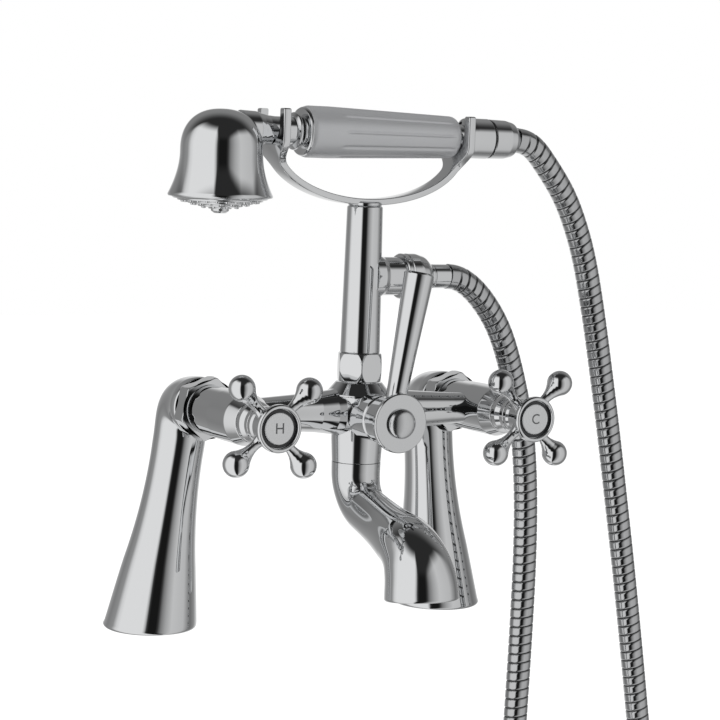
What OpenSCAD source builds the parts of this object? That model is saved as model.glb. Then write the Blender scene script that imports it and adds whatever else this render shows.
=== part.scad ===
// Deck-mounted bath and shower mixer with a telephone handset on a cradle.
// X runs to the cold side, -Y to the front over the bath, Z up, in millimetres.
// The origin lies midway between the two inlets, on the deck.

/* [Layout] */
// Distance between the two inlets on the deck
inlet_spacing = 180; // [165:1:200]
// Distance between the two valve axes
valve_spacing = 150.8; // [145:0.2:160]
// Height of the valve axes above the deck
valve_height = 121.2; // [110:0.2:140]
// Distance from the inlets forward to the centre body
body_reach = 59.6; // [55:0.2:64]

/* [Legs] */
// Diameter of the foot on the deck
foot_d = 50.4; // [46:0.2:56]
// Height of the straight cone above the deck
foot_cone_h = 35; // [25:1:45]
// Diameter at the top of that cone
foot_cone_d = 39; // [33:0.2:42]
// Diameter of the slim part of the leg
leg_d = 27.8; // [24:0.2:30]
// Height at which the leg is slimmest
leg_slim_h = 94; // [85:1:98]
// Diameter of the elbow
elbow_d = 31.6; // [29:0.2:32]
// Bend radius of the elbow
elbow_bend = 17; // [16.5:0.5:18.5]
// How far the top of the leg leans forward
leg_forward = 5.6; // [2:0.2:6]
// Diameter of the inlet thread in the foot
inlet_d = 24.12; // [20:0.02:26]
// Depth of the inlet thread
inlet_depth = 16; // [10:1:22]
// Diameter of the waterway up the leg
leg_bore_d = 17; // [12:0.5:19]
// Thickness of the foot gasket
gasket_t = 2.5; // [1.5:0.1:4]

/* [Unions] */
// Width of the union nut across its flats
union_flats = 29.8; // [28:0.2:32]
// Thickness of the union nut
union_nut_t = 10; // [8:0.5:12]
// Place of the nut's back face along the valve axis
union_start = 27; // [26.5:0.1:28]
// Diameter of the union thread
union_thread_d = 22; // [20:0.2:23]
// Diameter of the waterway through the union
union_bore_d = 13; // [10:0.2:13.6]
// Thickness of the union washer
union_washer_t = 1.6; // [1:0.1:2]

/* [Valves] */
// Largest diameter of the valve barrel
barrel_d = 26.6; // [25:0.2:29]
// Length of the valve barrel's swelling behind its full diameter
barrel_swell = 20.6; // [16:0.2:24]
// Place of the barrel's front shoulder
barrel_shoulder = 81; // [79:0.5:83]
// Place of the barrel's front face
barrel_front = 88; // [86:0.5:89]
// Diameter of the barrel's front face
barrel_front_d = 21.8; // [21:0.2:24]
// Diameter of the cartridge bore
cartridge_d = 18; // [17:0.2:18.8]
// Thickness of each ceramic disc
ceramic_t = 2.6; // [2:0.1:3]
// Diameter of the valve spindle
spindle_d = 8; // [7:0.1:9]
// Diameter of the chrome collar behind the handle
collar_d = 20.6; // [20:0.2:21.6]

/* [Handles] */
// Place of the handle's back face
handle_back = 97.8; // [97.5:0.1:99]
// Length of the handle from back to front
handle_len = 18.4; // [17:0.2:20]
// Diameter of the handle's hub
hub_d = 16.8; // [15:0.2:18]
// Diameter of the front cap ring
cap_d = 24.1; // [22:0.1:26]
// Diameter of the well in the cap ring
well_d = 19.8; // [18.4:0.1:20.4]
// Depth of the well
well_depth = 2.6; // [2:0.1:3]
// Diameter of the index disc
index_d = 16; // [14:0.2:18]
// Radius from the valve axis to the ball centres
ball_circle_r = 26.4; // [25:0.1:29]
// Diameter of the balls on the arms
ball_d = 13.4; // [11:0.1:14.4]
// Thickness of the arms beside the balls
arm_d = 6; // [5:0.1:7]
// Turn of the closed handles from an upright diagonal cross
handle_turn = 2.7; // [0:0.1:6]

/* [Body] */
// Diameter of the centre body
centre_d = 27.4; // [26:0.2:29]
// Drop of the joint between body and spout below the valve axes
spout_joint_drop = 26.9; // [25:0.1:29]
// Rise of the centre body's top above the valve axes
body_rise = 15.8; // [15:0.1:17.8]
// Diameter of the shoulder under the riser nut
shoulder_d = 33.2; // [31:0.2:36]
// Diameter of the cross arms at the centre body
cross_root_d = 24.4; // [22:0.2:26]
// Diameter of the cross arms at the valves
cross_tip_d = 15.4; // [14:0.2:18]
// Diameter of the mixing chamber
chamber_d = 19.2; // [18.6:0.2:20]
// Diameter of the seats above and below the chamber
seat_d = 12.4; // [10:0.2:13]

/* [Diverter] */
// How far the diverter axis lies below the valve axes
diverter_drop = 1.2; // [0:0.1:2]
// Diameter of the diverter barrel and hub
diverter_d = 24.6; // [23:0.2:26]
// Length of the fixed barrel in front of the body
diverter_barrel_len = 14; // [13:0.5:15]
// Length of the hub that carries the lever
diverter_hub_len = 13; // [12.4:0.1:14.4]
// Thickness of the front disc
disc_t = 3.2; // [2.6:0.1:3.6]
// Diameter of the front disc
disc_d = 30.7; // [28:0.1:33]
// Diameter of the dome on the disc
dome_d = 15.6; // [13:0.2:18]
// Height of the dome
dome_h = 4.8; // [3.5:0.1:6]
// Lean of the lever from upright
lever_lean = 9.9; // [0:0.1:15]
// Distance from the diverter axis to the lever's end
lever_reach = 78; // [60:1:80]
// Diameter of the lever at the hub
lever_root_d = 10.6; // [9:0.1:12]
// Diameter of the lever at its end
lever_tip_d = 15.8; // [13:0.1:17]
// Throw of the crank pin that lifts the shuttle
crank_throw = 5; // [4.4:0.1:5.4]

/* [Riser] */
// Width of the riser nut across its flats
riser_flats = 22.2; // [21.4:0.2:25]
// Height of the riser nut
riser_nut_h = 15; // [14:0.2:16]
// Diameter of the riser at its foot
riser_foot_d = 21; // [20:0.2:22]
// Diameter of the riser at its top
riser_top_d = 18.8; // [18:0.2:20]
// Length of the riser above its nut
riser_len = 77.2; // [73:0.1:82]
// Rise of the hose outlet above the riser nut
outlet_rise = 40.4; // [33:0.1:47]
// Diameter of the outlet boss
outlet_d = 20.2; // [19:0.2:21]
// Length of the outlet boss from the riser axis
outlet_reach = 22; // [18:0.5:26]

/* [Cradle] */
// Distance from the middle of the cradle to its forks
fork_x = 55.1; // [50:0.1:55.3]
// Rise of the fork's tips above the handset's axis
fork_rise = 11.2; // [9.2:0.1:17]
// Thickness of the prongs
prong_t = 4.2; // [3.8:0.1:4.6]
// Width of the slot between the prongs
fork_slot = 21.3; // [20:0.1:23]
// Thickness of the strap at the bottom
strap_t = 3.4; // [2.4:0.1:3.6]
// Width of the strap at the bottom
strap_w = 11; // [9:0.2:14]
// Height of the strap's bow from its lowest to its springing
strap_bow = 28; // [26:0.2:30]

/* [Spout] */
// Diameter of the spout's mouth
mouth_d = 38.1; // [36:0.1:42]
// Wall of the spout
spout_wall = 2.6; // [2:0.1:3.4]
// Radius of the upper bend
spout_upper_bend = 20; // [18:0.5:22]
// Radius of the lower bend
spout_lower_bend = 26; // [24:0.5:28]
// Length of the run between the bends
spout_run = 38.4; // [34:0.2:44]

/* [Handset] */
// Rise of the handset's axis above the riser's top
handset_rise = 37.4; // [35:0.1:42]
// Place of the bell's axis along the handset
bell_x = -84.2; // [-86:0.1:-84]
// Diameter of the bell's rim
bell_rim_d = 53.2; // [50:0.2:53.6]
// Diameter of the bell's wall
bell_wall_d = 43; // [40:0.2:46]
// Height of the bell from its rim to its crown
bell_h = 44.4; // [43.6:0.2:46]
// Drop of the rim below the handset's axis
bell_drop = 34.6; // [34:0.1:36]
// Wall of the bell
bell_wall = 2; // [1.6:0.1:2.4]
// Diameter of the neck that lies in the fork
neck_d = 14.3; // [13:0.1:15]
// Diameter of the grip at its front end
grip_front_d = 26.7; // [25:0.1:29]
// Diameter of the grip at its rear end
grip_rear_d = 22.4; // [20:0.1:24]
// Number of flutes round the grip
grip_flutes = 10; // [8:1:12]
// Depth of the flutes
flute_depth = 0.5; // [0.3:0.05:0.7]
// Diameter of the tail connector
tail_d = 21.4; // [20.6:0.2:23]
// Number of spray holes in the inner ring
spray_holes = 8; // [6:1:10]

/* [Hose] */
// Diameter over the hose's ribs
hose_d = 13.4; // [12.8:0.1:14]
// Depth of the ribs
rib_depth = 0.9; // [0.5:0.1:1.1]
// Number of ribs along the hose
hose_ribs = 195; // [100:1:195]
// Diameter of the hose's waterway
hose_bore_d = 8.4; // [7:0.2:9]
// Diameter of the hose's plain ends inside the ferrules
liner_d = 10.8; // [10:0.1:11]
// Outer diameter of the ferrules
ferrule_d = 12.7; // [12.5:0.1:13]

/* [Hidden] */
$fn = 72;

// Radial gap of a turning fit
run_gap = 0.06;
// Radial gap of a fixed fit
fit_gap = 0.03;
// Axial gap between a turning and a fixed face
face_gap = 0.4;
// Overshoot of a cutting shape
over = 1;

hot = -1;
cold = 1;
valve_x = valve_spacing / 2;
inlet_x = inlet_spacing / 2;

// Legs
leg_rise = norm([inlet_x - valve_x, valve_height]);
leg_lean_out = atan((inlet_x - valve_x) / valve_height);
leg_lean_fwd = atan(leg_forward / leg_rise);
leg_len = norm([leg_rise, leg_forward]);
elbow_turn = 90 - leg_lean_fwd;
elbow_set = elbow_bend * tan(elbow_turn / 2);
elbow_end = leg_forward + elbow_set;
elbow_lap = 1.6;
elbow_step = 0.3;
foot_sink = 8;
gasket_in_d = inlet_d + 4.8;
gasket_out_d = foot_d - 7.4;
flare_sweep = 2 * atan((foot_cone_d - leg_d) / 2 / (leg_slim_h - foot_cone_h));
flare_r = (leg_slim_h - foot_cone_h) / sin(flare_sweep);
foot_taper = (foot_d - foot_cone_d) / 2 / foot_cone_h;

// Unions, counted along the valve axis from the inlets' plane towards the front
union_front = union_start + union_nut_t;
union_lip_t = 2.4;
spigot_gap = 0.4;
flange_t = 1.8;
flange_start = union_start + union_lip_t + 0.2;
tail_start = flange_start + flange_t + union_washer_t;
spigot_d = union_thread_d - 4.8;
flange_d = union_thread_d - 0.8;
union_corner = 18.7;

// Valves
barrel_full = union_front + barrel_swell;
seat_place = body_reach - 9.6;
seal_t = 2;
fixed_place = seat_place + seal_t;
moving_place = fixed_place + ceramic_t + run_gap;
driver_place = moving_place + ceramic_t;
driver_t = 3.6;
driver_end = driver_place + driver_t;
disc_bore_d = cartridge_d - 0.8;
insert_flange_d = collar_d - 2.6;
insert_end = barrel_front + 7;
insert_flange_t = 3;
collar_front = handle_back - face_gap;
spindle_end = handle_back + 11.2;
spline_d = spindle_d - 0.8;
screw_d = 3.2;
seal_groove_d = spindle_d - 2;
valve_seal_place = barrel_front - 7;

// Handles
handle_front = handle_back + handle_len;
arm_place = handle_back + 10.4;
arm_root = hub_d / 2 - 3.4;
well_floor = handle_front - well_depth;
screw_seat = well_floor - 3.1;
screw_head_d = 6.2;
screw_head_t = 2.2;

// Body
body_top_h = valve_height + body_rise;
diverter_h = valve_height - diverter_drop;
spout_joint_h = valve_height - spout_joint_drop;
joint_spigot_d = 18;
joint_spigot_h = 4.6;
lower_seat_h = spout_joint_h + joint_spigot_h + 0.2;
seat_t = 4;
chamber_low = lower_seat_h + seat_t;
chamber_high = body_top_h - seat_t;
riser_thread_h = 5;
boss_d = diverter_d - 1.6;
boss_bore_d = 16.4;
cross_bore_d = 8.4;
insert_port_d = 8;

// Diverter, counted along its axis from the inlets' plane towards the front
diverter_seat = body_reach + centre_d / 2 + 0.7;
barrel_spigot = diverter_seat - 3.6;
diverter_split = diverter_seat + diverter_barrel_len;
hub_back = diverter_split + face_gap;
disc_back = hub_back + diverter_hub_len;
disc_front = disc_back + disc_t;
spot_face_gap = 0.2;
lever_place = disc_back - 6.4;
holder_d = 16;
crank_back = body_reach + holder_d / 2 + face_gap;
crank_t = 1.9;
crank_d = 2 * (crank_throw + 1.8);
crank_pin_d = 3;
pin_reach = holder_d / 2 + face_gap + 2.6;
slot_gap = 0.45;
pin_drop = crank_throw * sin(lever_lean);
pin_side = crank_throw * cos(lever_lean);
shuttle_h = diverter_h - pin_drop;
shuttle_up = 4.3;
shuttle_down = 2.75;
washer_t = 1.7;
holder_t = 1.7;
stop_gap = 0.3;
diverter_seal_place = diverter_split - 8;

// Riser
nut_low = body_top_h + 0.2;
riser_foot = body_top_h + riser_nut_h + 0.2;
riser_top_h = riser_foot + riser_len;
riser_washer_t = 1.5;
riser_flange_t = 2;
riser_flange_low = body_top_h + riser_thread_h + riser_washer_t;
riser_lip = riser_flange_low + riser_flange_t + 0.2;
riser_spigot_d = 14.8;
riser_bore_d = 13;
riser_corner = 6.5;

// Outlet, counted along X from the riser axis
outlet_h = riser_foot + outlet_rise;
outlet_thread_d = outlet_d - 1.4;
outlet_thread_end = outlet_reach + 9;
outlet_bore_d = 10;
hose_washer_t = 1.4;
nut_d = 24;
nut_end_d = 16;
outlet_nut_end = outlet_reach + 17.6;
outlet_flange = outlet_thread_end + hose_washer_t;
ferrule_flange_t = 1.8;
outlet_hose_start = outlet_reach + 30;
liner_gap = 0.25;
liner_depth = 8;
rib_gap = 0.7;

// Cradle
fork_seat_gap = 0.3;
handset_h = riser_top_h + handset_rise;
fork_top_h = handset_h + fork_rise;
fork_low = handset_h - neck_d / 2 - fork_seat_gap;
spring_h = riser_top_h + strap_t / 2 + strap_bow + 0.4;
prong_out = fork_slot / 2 + 4.7;
strap_narrow_h = fork_low - 10;
strap_wide_h = fork_low + 1.2;
pad_t = 2.4;
cradle_screw_d = 5;

// Handset, counted along X
bell_rim_h = handset_h - bell_drop;
crown_h = bell_rim_h + bell_h;
flare_h = 15;
rim_t = 1.2;
wall_top_h = bell_rim_h + 23.5;
crown_power = 2.3;
tube_d = 10.4;
tube_bore_d = 8;
neck_start = -fork_x - 4.9;
collar_start = 10.1 - fork_x;
grip_start = collar_start + 6.8;
grip_end = fork_x - 2.5;
tail_neck_end = fork_x + 3.1;
tail_end = tail_neck_end + 15.3;
seal_ring_t = 1;
tail_thread_d = tail_d - 3;
tail_thread_end = tail_end + 8.5;
hose_nut_start = tail_end + seal_ring_t;
hose_nut_end = tail_end + 18;
tail_flange = tail_thread_end + hose_washer_t;
handset_hose_start = tail_end + 19;
arm_root_d = 18.6;
plate_d = bell_rim_d - 2 * bell_wall - 0.2;
plate_drop = 5.9;
plate_top = bell_rim_h + rim_t - 0.2;
nub_d = 9.2;
nub_h = 2.2;
spray_hole_d = 1.3;
spray_rings = [[9, 1], [14, 2], [19, 3]];

// Hose: its route from the riser's outlet round the hanging loop to the handset
hose_route = [
    [44, -59.6, 192.6], [48, -59.6, 192.6], [52, -59.6, 192.6], [57, -59.6, 192],
    [62.1, -59.4, 190.2], [67.3, -59, 187.2], [72.4, -58.6, 183.2], [77.5, -58, 178.3],
    [82.4, -57.3, 172.7], [87.5, -56.4, 165.9], [92.7, -55.2, 157.3], [97.9, -53.7, 146.6],
    [103.1, -52.3, 133.6], [108.6, -50.5, 118], [114, -49, 95], [117.8, -47.5, 65],
    [119.5, -46.5, 30], [119.5, -46, -8], [118.5, -46, -50], [117, -46, -95],
    [115, -46, -142], [113.5, -46, -192], [114.5, -46, -240], [121, -46, -285],
    [138, -46, -318], [167, -46, -331], [197, -46, -318], [214.5, -46, -285],
    [221, -46, -240], [220, -46, -192], [216, -46, -142], [209.5, -46, -95],
    [202.5, -46, -52], [195.5, -46, -11], [188.5, -46, 28], [181, -46.4, 66],
    [173, -47, 105], [165, -48, 140], [159.5, -49.1, 161.9], [154.1, -50.3, 181.2],
    [149.3, -51.5, 196.4], [144.2, -52.8, 209.5], [139, -54, 220.3], [133.6, -55.2, 229.9],
    [128.3, -56.3, 237.7], [122.9, -57.3, 244.3], [117.5, -58.1, 250.3], [112.4, -58.7, 255.7],
    [107.8, -59.2, 260.3], [103, -59.5, 263.9], [97.9, -59.6, 266], [92.5, -59.6, 266.8],
    [88.5, -59.6, 266.8], [84.5, -59.6, 266.8]
];
hose_sides = 8;
bore_rings = 60;
held_points = 3;
slack_points = 9;

// Geometry helpers
function unit(v) = v / norm(v);
function arc(c, r, from, to, steps) =
    [for (i = [0 : steps]) let (a = from + (to - from) * i / steps) c + r * [cos(a), sin(a)]];

// One ring of points round a path, with ref as the direction that never lies along it
function ring(c, t, ref, r, sides) =
    let (side = unit(cross(ref, t)), rise = cross(t, side))
    [for (i = [0 : sides - 1]) c + r * (cos(360 * i / sides) * side + sin(360 * i / sides) * rise)];

function wall_faces(first, rings, sides, out) =
    [for (k = [0 : rings - 2], i = [0 : sides - 1], half = [0, 1])
        let (j = (i + 1) % sides,
             a = first + k * sides + i, b = first + k * sides + j,
             c = first + (k + 1) * sides + j, d = first + (k + 1) * sides + i)
        out ? (half == 0 ? [a, d, c] : [a, c, b]) : (half == 0 ? [a, c, d] : [a, b, c])];

function end_faces(outer, inner, sides, start) =
    [for (i = [0 : sides - 1], half = [0, 1])
        let (j = (i + 1) % sides, a = outer + i, b = outer + j, c = inner + j, d = inner + i)
        start ? (half == 0 ? [a, b, c] : [a, c, d]) : (half == 0 ? [a, c, b] : [a, d, c])];

// A hollow tube from two lists of rings, open at both ends
module ring_tube(outer, inner, sides) {
    points = concat([for (r = outer, p = r) p], [for (r = inner, p = r) p]);
    first_inner = len(outer) * sides;
    last_outer = first_inner - sides;
    last_inner = len(points) - sides;
    polyhedron(points, concat(
        wall_faces(0, len(outer), sides, true),
        wall_faces(first_inner, len(inner), sides, false),
        end_faces(0, first_inner, sides, true),
        end_faces(last_outer, last_inner, sides, false)));
}

module tube(outer_d, inner_d, from, to) {
    translate([0, 0, from])
        difference() {
            cylinder(d = outer_d, h = to - from);
            translate([0, 0, -over]) cylinder(d = inner_d, h = to - from + 2 * over);
        }
}

module bore(d, from, to) {
    translate([0, 0, from]) cylinder(d = d, h = to - from);
}

module turned(points) {
    rotate_extrude() polygon(points);
}

// A round sealing ring of cord section lying in a groove
module o_ring(groove_d, outer_d, place) {
    cord = (outer_d - groove_d) / 2 - 0.06;
    translate([0, 0, place])
        rotate_extrude() translate([(groove_d + outer_d) / 4, 0]) circle(d = cord);
}

// Frames: each turns its local Z along the real axis of the piece
module valve_frame(side) {
    translate([side * valve_x, 0, valve_height]) rotate([90, 0, 0]) children();
}

module diverter_frame() {
    translate([0, 0, diverter_h]) rotate([90, 0, 0]) children();
}

module centre_frame() {
    translate([0, -body_reach, 0]) children();
}

module outlet_frame() {
    translate([0, -body_reach, outlet_h]) rotate([0, 90, 0]) children();
}

module handset_frame() {
    translate([0, -body_reach, handset_h]) rotate([0, 90, 0]) children();
}

module leg_frame(side) {
    translate([side * inlet_x, 0, 0]) rotate([0, -side * leg_lean_out, 0]) children();
}

// Legs
module leg_shank() {
    slim = [leg_d / 2 + flare_r, leg_slim_h];
    shank_end = leg_len - elbow_set;
    rotate([leg_lean_fwd, 0, 0])
        turned(concat(
            [[0, -foot_sink], [foot_d / 2 + foot_sink * foot_taper, -foot_sink],
             [foot_d / 2, 0]],
            arc(slim, flare_r, 180 + flare_sweep, 180, 8),
            [[elbow_d / 2, shank_end], [elbow_d / 2 - elbow_step, shank_end],
             [elbow_d / 2 - elbow_step, shank_end + elbow_lap], [0, shank_end + elbow_lap]]));
}

module elbow(d) {
    up = [0, -sin(leg_lean_fwd), cos(leg_lean_fwd)];
    inward = [0, -cos(leg_lean_fwd), -sin(leg_lean_fwd)];
    corner = [0, -leg_forward, leg_rise];
    translate(corner - elbow_set * up + elbow_bend * inward)
        rotate([leg_lean_fwd, 0, 0])
            rotate([90, 0, 90])
                rotate_extrude(angle = elbow_turn) translate([elbow_bend, 0]) circle(d = d);
}

module leg(side) {
    color("silver")
        difference() {
            union() {
                intersection() {
                    leg_frame(side) leg_shank();
                    translate([side * inlet_x - leg_len / 2, -leg_len / 2, 0]) cube(leg_len);
                }
                leg_frame(side) elbow(elbow_d);
                valve_frame(side) {
                    bore(elbow_d - 2 * elbow_step, elbow_end - elbow_lap, union_start - spigot_gap);
                    bore(spigot_d, elbow_end, flange_start + flange_t);
                    bore(flange_d, flange_start, flange_start + flange_t);
                }
            }
            translate([side * inlet_x, 0, 0]) {
                bore(inlet_d, -over, inlet_depth);
                tube(gasket_out_d, gasket_in_d, -over, gasket_t);
            }
            leg_frame(side) {
                rotate([leg_lean_fwd, 0, 0]) bore(leg_bore_d, inlet_depth - 3, leg_slim_h);
                rotate([leg_lean_fwd, 0, 0])
                    bore(union_bore_d, leg_slim_h - over, leg_len - elbow_set + elbow_lap);
                elbow(union_bore_d - 0.8);
            }
            valve_frame(side) bore(union_bore_d, elbow_end - elbow_lap, tail_start);
        }
}

module hot_leg() leg(hot);
module cold_leg() leg(cold);

module foot_gaskets() {
    color("dimgray")
        for (side = [hot, cold])
            translate([side * inlet_x, 0, 0])
                tube(gasket_out_d - 2 * fit_gap, gasket_in_d + 2 * fit_gap, 0, gasket_t);
}

// Unions
module chamfered_hex(flats, height, turn) {
    corner_r = flats / sqrt(3);
    bevel = (corner_r - flats / 2) * 0.7;
    intersection() {
        rotate([0, 0, turn]) cylinder(r = corner_r, h = height, $fn = 6);
        turned([[0, 0], [corner_r - bevel, 0], [corner_r, bevel],
                [corner_r, height - bevel], [corner_r - bevel, height], [0, height]]);
    }
}

module union_nut(side) {
    color("silver")
        valve_frame(side)
            difference() {
                translate([0, 0, union_start]) chamfered_hex(union_flats, union_nut_t, union_corner);
                bore(spigot_d + 2 * spigot_gap, union_start - over, union_front + over);
                bore(union_thread_d + 2 * fit_gap, union_start + union_lip_t, union_front + over);
            }
}

module hot_union_nut() union_nut(hot);
module cold_union_nut() union_nut(cold);

module union_washers() {
    color("saddlebrown")
        for (side = [hot, cold])
            valve_frame(side) tube(flange_d, union_bore_d, flange_start + flange_t, tail_start);
}

// Mixer body: one hollow brass casting with the valve barrels, cross arms and centre body
module valve_barrel_form() {
    turned([[0, tail_start], [union_thread_d / 2, tail_start], [union_thread_d / 2, union_front + 0.4],
            [barrel_d / 2, barrel_full], [barrel_d / 2, barrel_shoulder],
            [barrel_front_d / 2, barrel_front], [0, barrel_front]]);
}

module valve_barrel_ways() {
    groove = [body_reach - insert_port_d / 2 - 0.6, body_reach + insert_port_d / 2 + 1.4];
    bore(union_bore_d, tail_start - over, seat_place + over);
    bore(cartridge_d + 2 * fit_gap, seat_place, barrel_front + over);
    bore(cartridge_d + 3, groove[0], groove[1]);
}

module centre_body_form() {
    turned([[0, spout_joint_h], [centre_d / 2 - 0.65, spout_joint_h],
            [centre_d / 2, spout_joint_h + 12], [centre_d / 2, body_top_h - 12],
            [shoulder_d / 2, body_top_h - 6.4], [centre_d / 2 - 1.5, body_top_h],
            [joint_spigot_d / 2, body_top_h], [joint_spigot_d / 2, body_top_h + riser_thread_h],
            [0, body_top_h + riser_thread_h]]);
}

module mixer_body() {
    color("silver")
        difference() {
            union() {
                for (side = [hot, cold]) {
                    valve_frame(side) valve_barrel_form();
                    translate([0, -body_reach, valve_height])
                        rotate([0, side * 90, 0])
                            cylinder(d1 = cross_root_d, d2 = cross_tip_d, h = valve_x);
                }
                centre_frame() centre_body_form();
                diverter_frame() bore(boss_d, body_reach, diverter_seat);
            }
            for (side = [hot, cold]) {
                valve_frame(side) valve_barrel_ways();
                translate([0, -body_reach, valve_height])
                    rotate([0, side * 90, 0]) bore(cross_bore_d, 0, valve_x - cartridge_d / 2);
            }
            centre_frame() {
                bore(joint_spigot_d + 2 * fit_gap, spout_joint_h - over, lower_seat_h);
                bore(seat_d, lower_seat_h - over, body_top_h + riser_thread_h + over);
                bore(chamber_d, chamber_low, chamber_high);
            }
            diverter_frame() {
                bore(boss_bore_d, body_reach, diverter_seat + over);
                bore(diverter_d + 2 * spot_face_gap, diverter_seat, diverter_seat + shoulder_d / 2);
            }
        }
}

// Ceramic disc cartridges
module valve_insert(side) {
    window = insert_port_d - 2.4;
    color("goldenrod")
        valve_frame(side)
            difference() {
                turned([[disc_bore_d / 2, fixed_place], [cartridge_d / 2, fixed_place],
                        [cartridge_d / 2, barrel_front], [insert_flange_d / 2, barrel_front],
                        [insert_flange_d / 2, barrel_front + insert_flange_t],
                        [spindle_d / 2 + 2.2, barrel_front + insert_flange_t],
                        [spindle_d / 2 + 2.2, insert_end], [spindle_d / 2 + run_gap, insert_end],
                        [spindle_d / 2 + run_gap, driver_end + run_gap],
                        [disc_bore_d / 2, driver_end + run_gap]]);
                translate([-cartridge_d, -window / 2, driver_place])
                    cube([2 * cartridge_d, window, driver_t]);
            }
}

module hot_valve_insert() valve_insert(hot);
module cold_valve_insert() valve_insert(cold);

module ceramic_disc(side, place, port_turn) {
    port_d = 4;
    color("white")
        valve_frame(side)
            difference() {
                bore(disc_bore_d - 2 * run_gap, place, place + ceramic_t);
                for (port = [0, 180])
                    rotate([0, 0, port_turn + port])
                        translate([disc_bore_d / 4, 0, 0])
                            bore(port_d, place - over, place + ceramic_t + over);
            }
}

module hot_fixed_disc() ceramic_disc(hot, fixed_place, 0);
module cold_fixed_disc() ceramic_disc(cold, fixed_place, 0);
module hot_moving_disc() ceramic_disc(hot, moving_place, 90);
module cold_moving_disc() ceramic_disc(cold, moving_place, 90);

module valve_seat_seals() {
    color("black")
        for (side = [hot, cold])
            valve_frame(side) tube(disc_bore_d, union_bore_d - 3, seat_place, fixed_place);
}

module valve_collar(side) {
    color("silver")
        valve_frame(side)
            turned([[insert_flange_d / 2 + fit_gap, barrel_front], [collar_d / 2 - 0.4, barrel_front],
                    [collar_d / 2, barrel_front + 0.8], [collar_d / 2, collar_front - 0.8],
                    [collar_d / 2 - 0.8, collar_front], [spindle_d / 2 + 2.4, collar_front],
                    [spindle_d / 2 + 2.4, barrel_front + insert_flange_t],
                    [insert_flange_d / 2 + fit_gap, barrel_front + insert_flange_t]]);
}

module hot_valve_collar() valve_collar(hot);
module cold_valve_collar() valve_collar(cold);

module spindle(side) {
    color("goldenrod")
        valve_frame(side)
            difference() {
                union() {
                    bore(disc_bore_d - 2 * run_gap, driver_place, driver_end);
                    bore(spindle_d, driver_end, handle_back);
                    bore(spline_d, handle_back, spindle_end);
                }
                tube(spindle_d + over, seal_groove_d, valve_seal_place - 0.7, valve_seal_place + 0.7);
                bore(screw_d, spindle_end - 10, spindle_end + over);
            }
}

module hot_spindle() spindle(hot);
module cold_spindle() spindle(cold);

module spindle_seal(side) {
    color("black") valve_frame(side) o_ring(seal_groove_d, spindle_d, valve_seal_place);
}

module hot_spindle_seal() spindle_seal(hot);
module cold_spindle_seal() spindle_seal(cold);

// Cross handles: a turned hub with a cupped front and four ball-ended arms
module handle_arm() {
    bead = ball_circle_r - ball_d / 2 - 1.6;
    dip = asin(arm_d / ball_d);
    turned(concat(
        [[0, arm_root], [arm_d / 2 + 1, arm_root], [arm_d / 2 + 0.6, hub_d / 2 + 2],
         [arm_d / 2 - 0.2, bead - 1.6],
         [arm_d / 2 + 0.9, bead - 0.5], [arm_d / 2 + 0.9, bead + 0.5]],
        arc([0, ball_circle_r], ball_d / 2, dip - 90, 90, 14)));
}

module cross_handle(side) {
    color("silver")
        valve_frame(side)
            difference() {
                union() {
                    turned([[0, handle_back], [hub_d / 2 + 1.4, handle_back],
                            [hub_d / 2 + 1.8, handle_back + 1.2], [hub_d / 2 + 1.5, handle_back + 2.8],
                            [hub_d / 2, handle_back + 3.8], [hub_d / 2, well_floor - 2.6],
                            [hub_d / 2 + 1.2, well_floor - 1.2], [cap_d / 2, well_floor - 0.4],
                            [cap_d / 2, handle_front - 0.6], [cap_d / 2 - 0.5, handle_front],
                            [0, handle_front]]);
                    for (quarter = [0 : 3])
                        translate([0, 0, arm_place])
                            rotate([0, 0, 45 - handle_turn + 90 * quarter])
                                rotate([0, 90, 0]) handle_arm();
                }
                bore(spline_d + 2 * fit_gap, handle_back - over, spindle_end + 0.2);
                bore(screw_d + 0.4, handle_back, handle_front);
                bore(screw_head_d + 0.4, screw_seat, handle_front);
                bore(well_d, well_floor, handle_front + over);
            }
}

module hot_cross_handle() cross_handle(hot);
module cold_cross_handle() cross_handle(cold);

module handle_screw(side) {
    slot_w = 0.9;
    color("gray")
        valve_frame(side)
            difference() {
                union() {
                    bore(screw_d - 2 * fit_gap, spindle_end - 8, screw_seat);
                    bore(screw_head_d, screw_seat, screw_seat + screw_head_t);
                }
                translate([-screw_head_d, -slot_w / 2, screw_seat + screw_head_t / 2])
                    cube([2 * screw_head_d, slot_w, screw_head_t]);
            }
}

module hot_handle_screw() handle_screw(hot);
module cold_handle_screw() handle_screw(cold);

module index_disc(side) {
    disc_h = 1.6;
    color("gainsboro")
        valve_frame(side)
            turned([[0, well_floor], [index_d / 2, well_floor], [index_d / 2, well_floor + disc_h - 0.4],
                    [index_d / 2 - 0.4, well_floor + disc_h], [0, well_floor + disc_h]]);
}

module hot_index_disc() index_disc(hot);
module cold_index_disc() index_disc(cold);

// Diverter: a lever turns a crank that lifts a shuttle between the two seats
module diverter_barrel() {
    color("silver")
        diverter_frame()
            difference() {
                union() {
                    turned([[0, diverter_seat], [diverter_d / 2, diverter_seat],
                            [diverter_d / 2, diverter_split - 0.5], [diverter_d / 2 - 0.5, diverter_split],
                            [0, diverter_split]]);
                    bore(boss_bore_d - 2 * fit_gap, barrel_spigot, diverter_seat);
                }
                bore(spindle_d + 2 * run_gap, barrel_spigot - over, diverter_split + over);
            }
}

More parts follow.
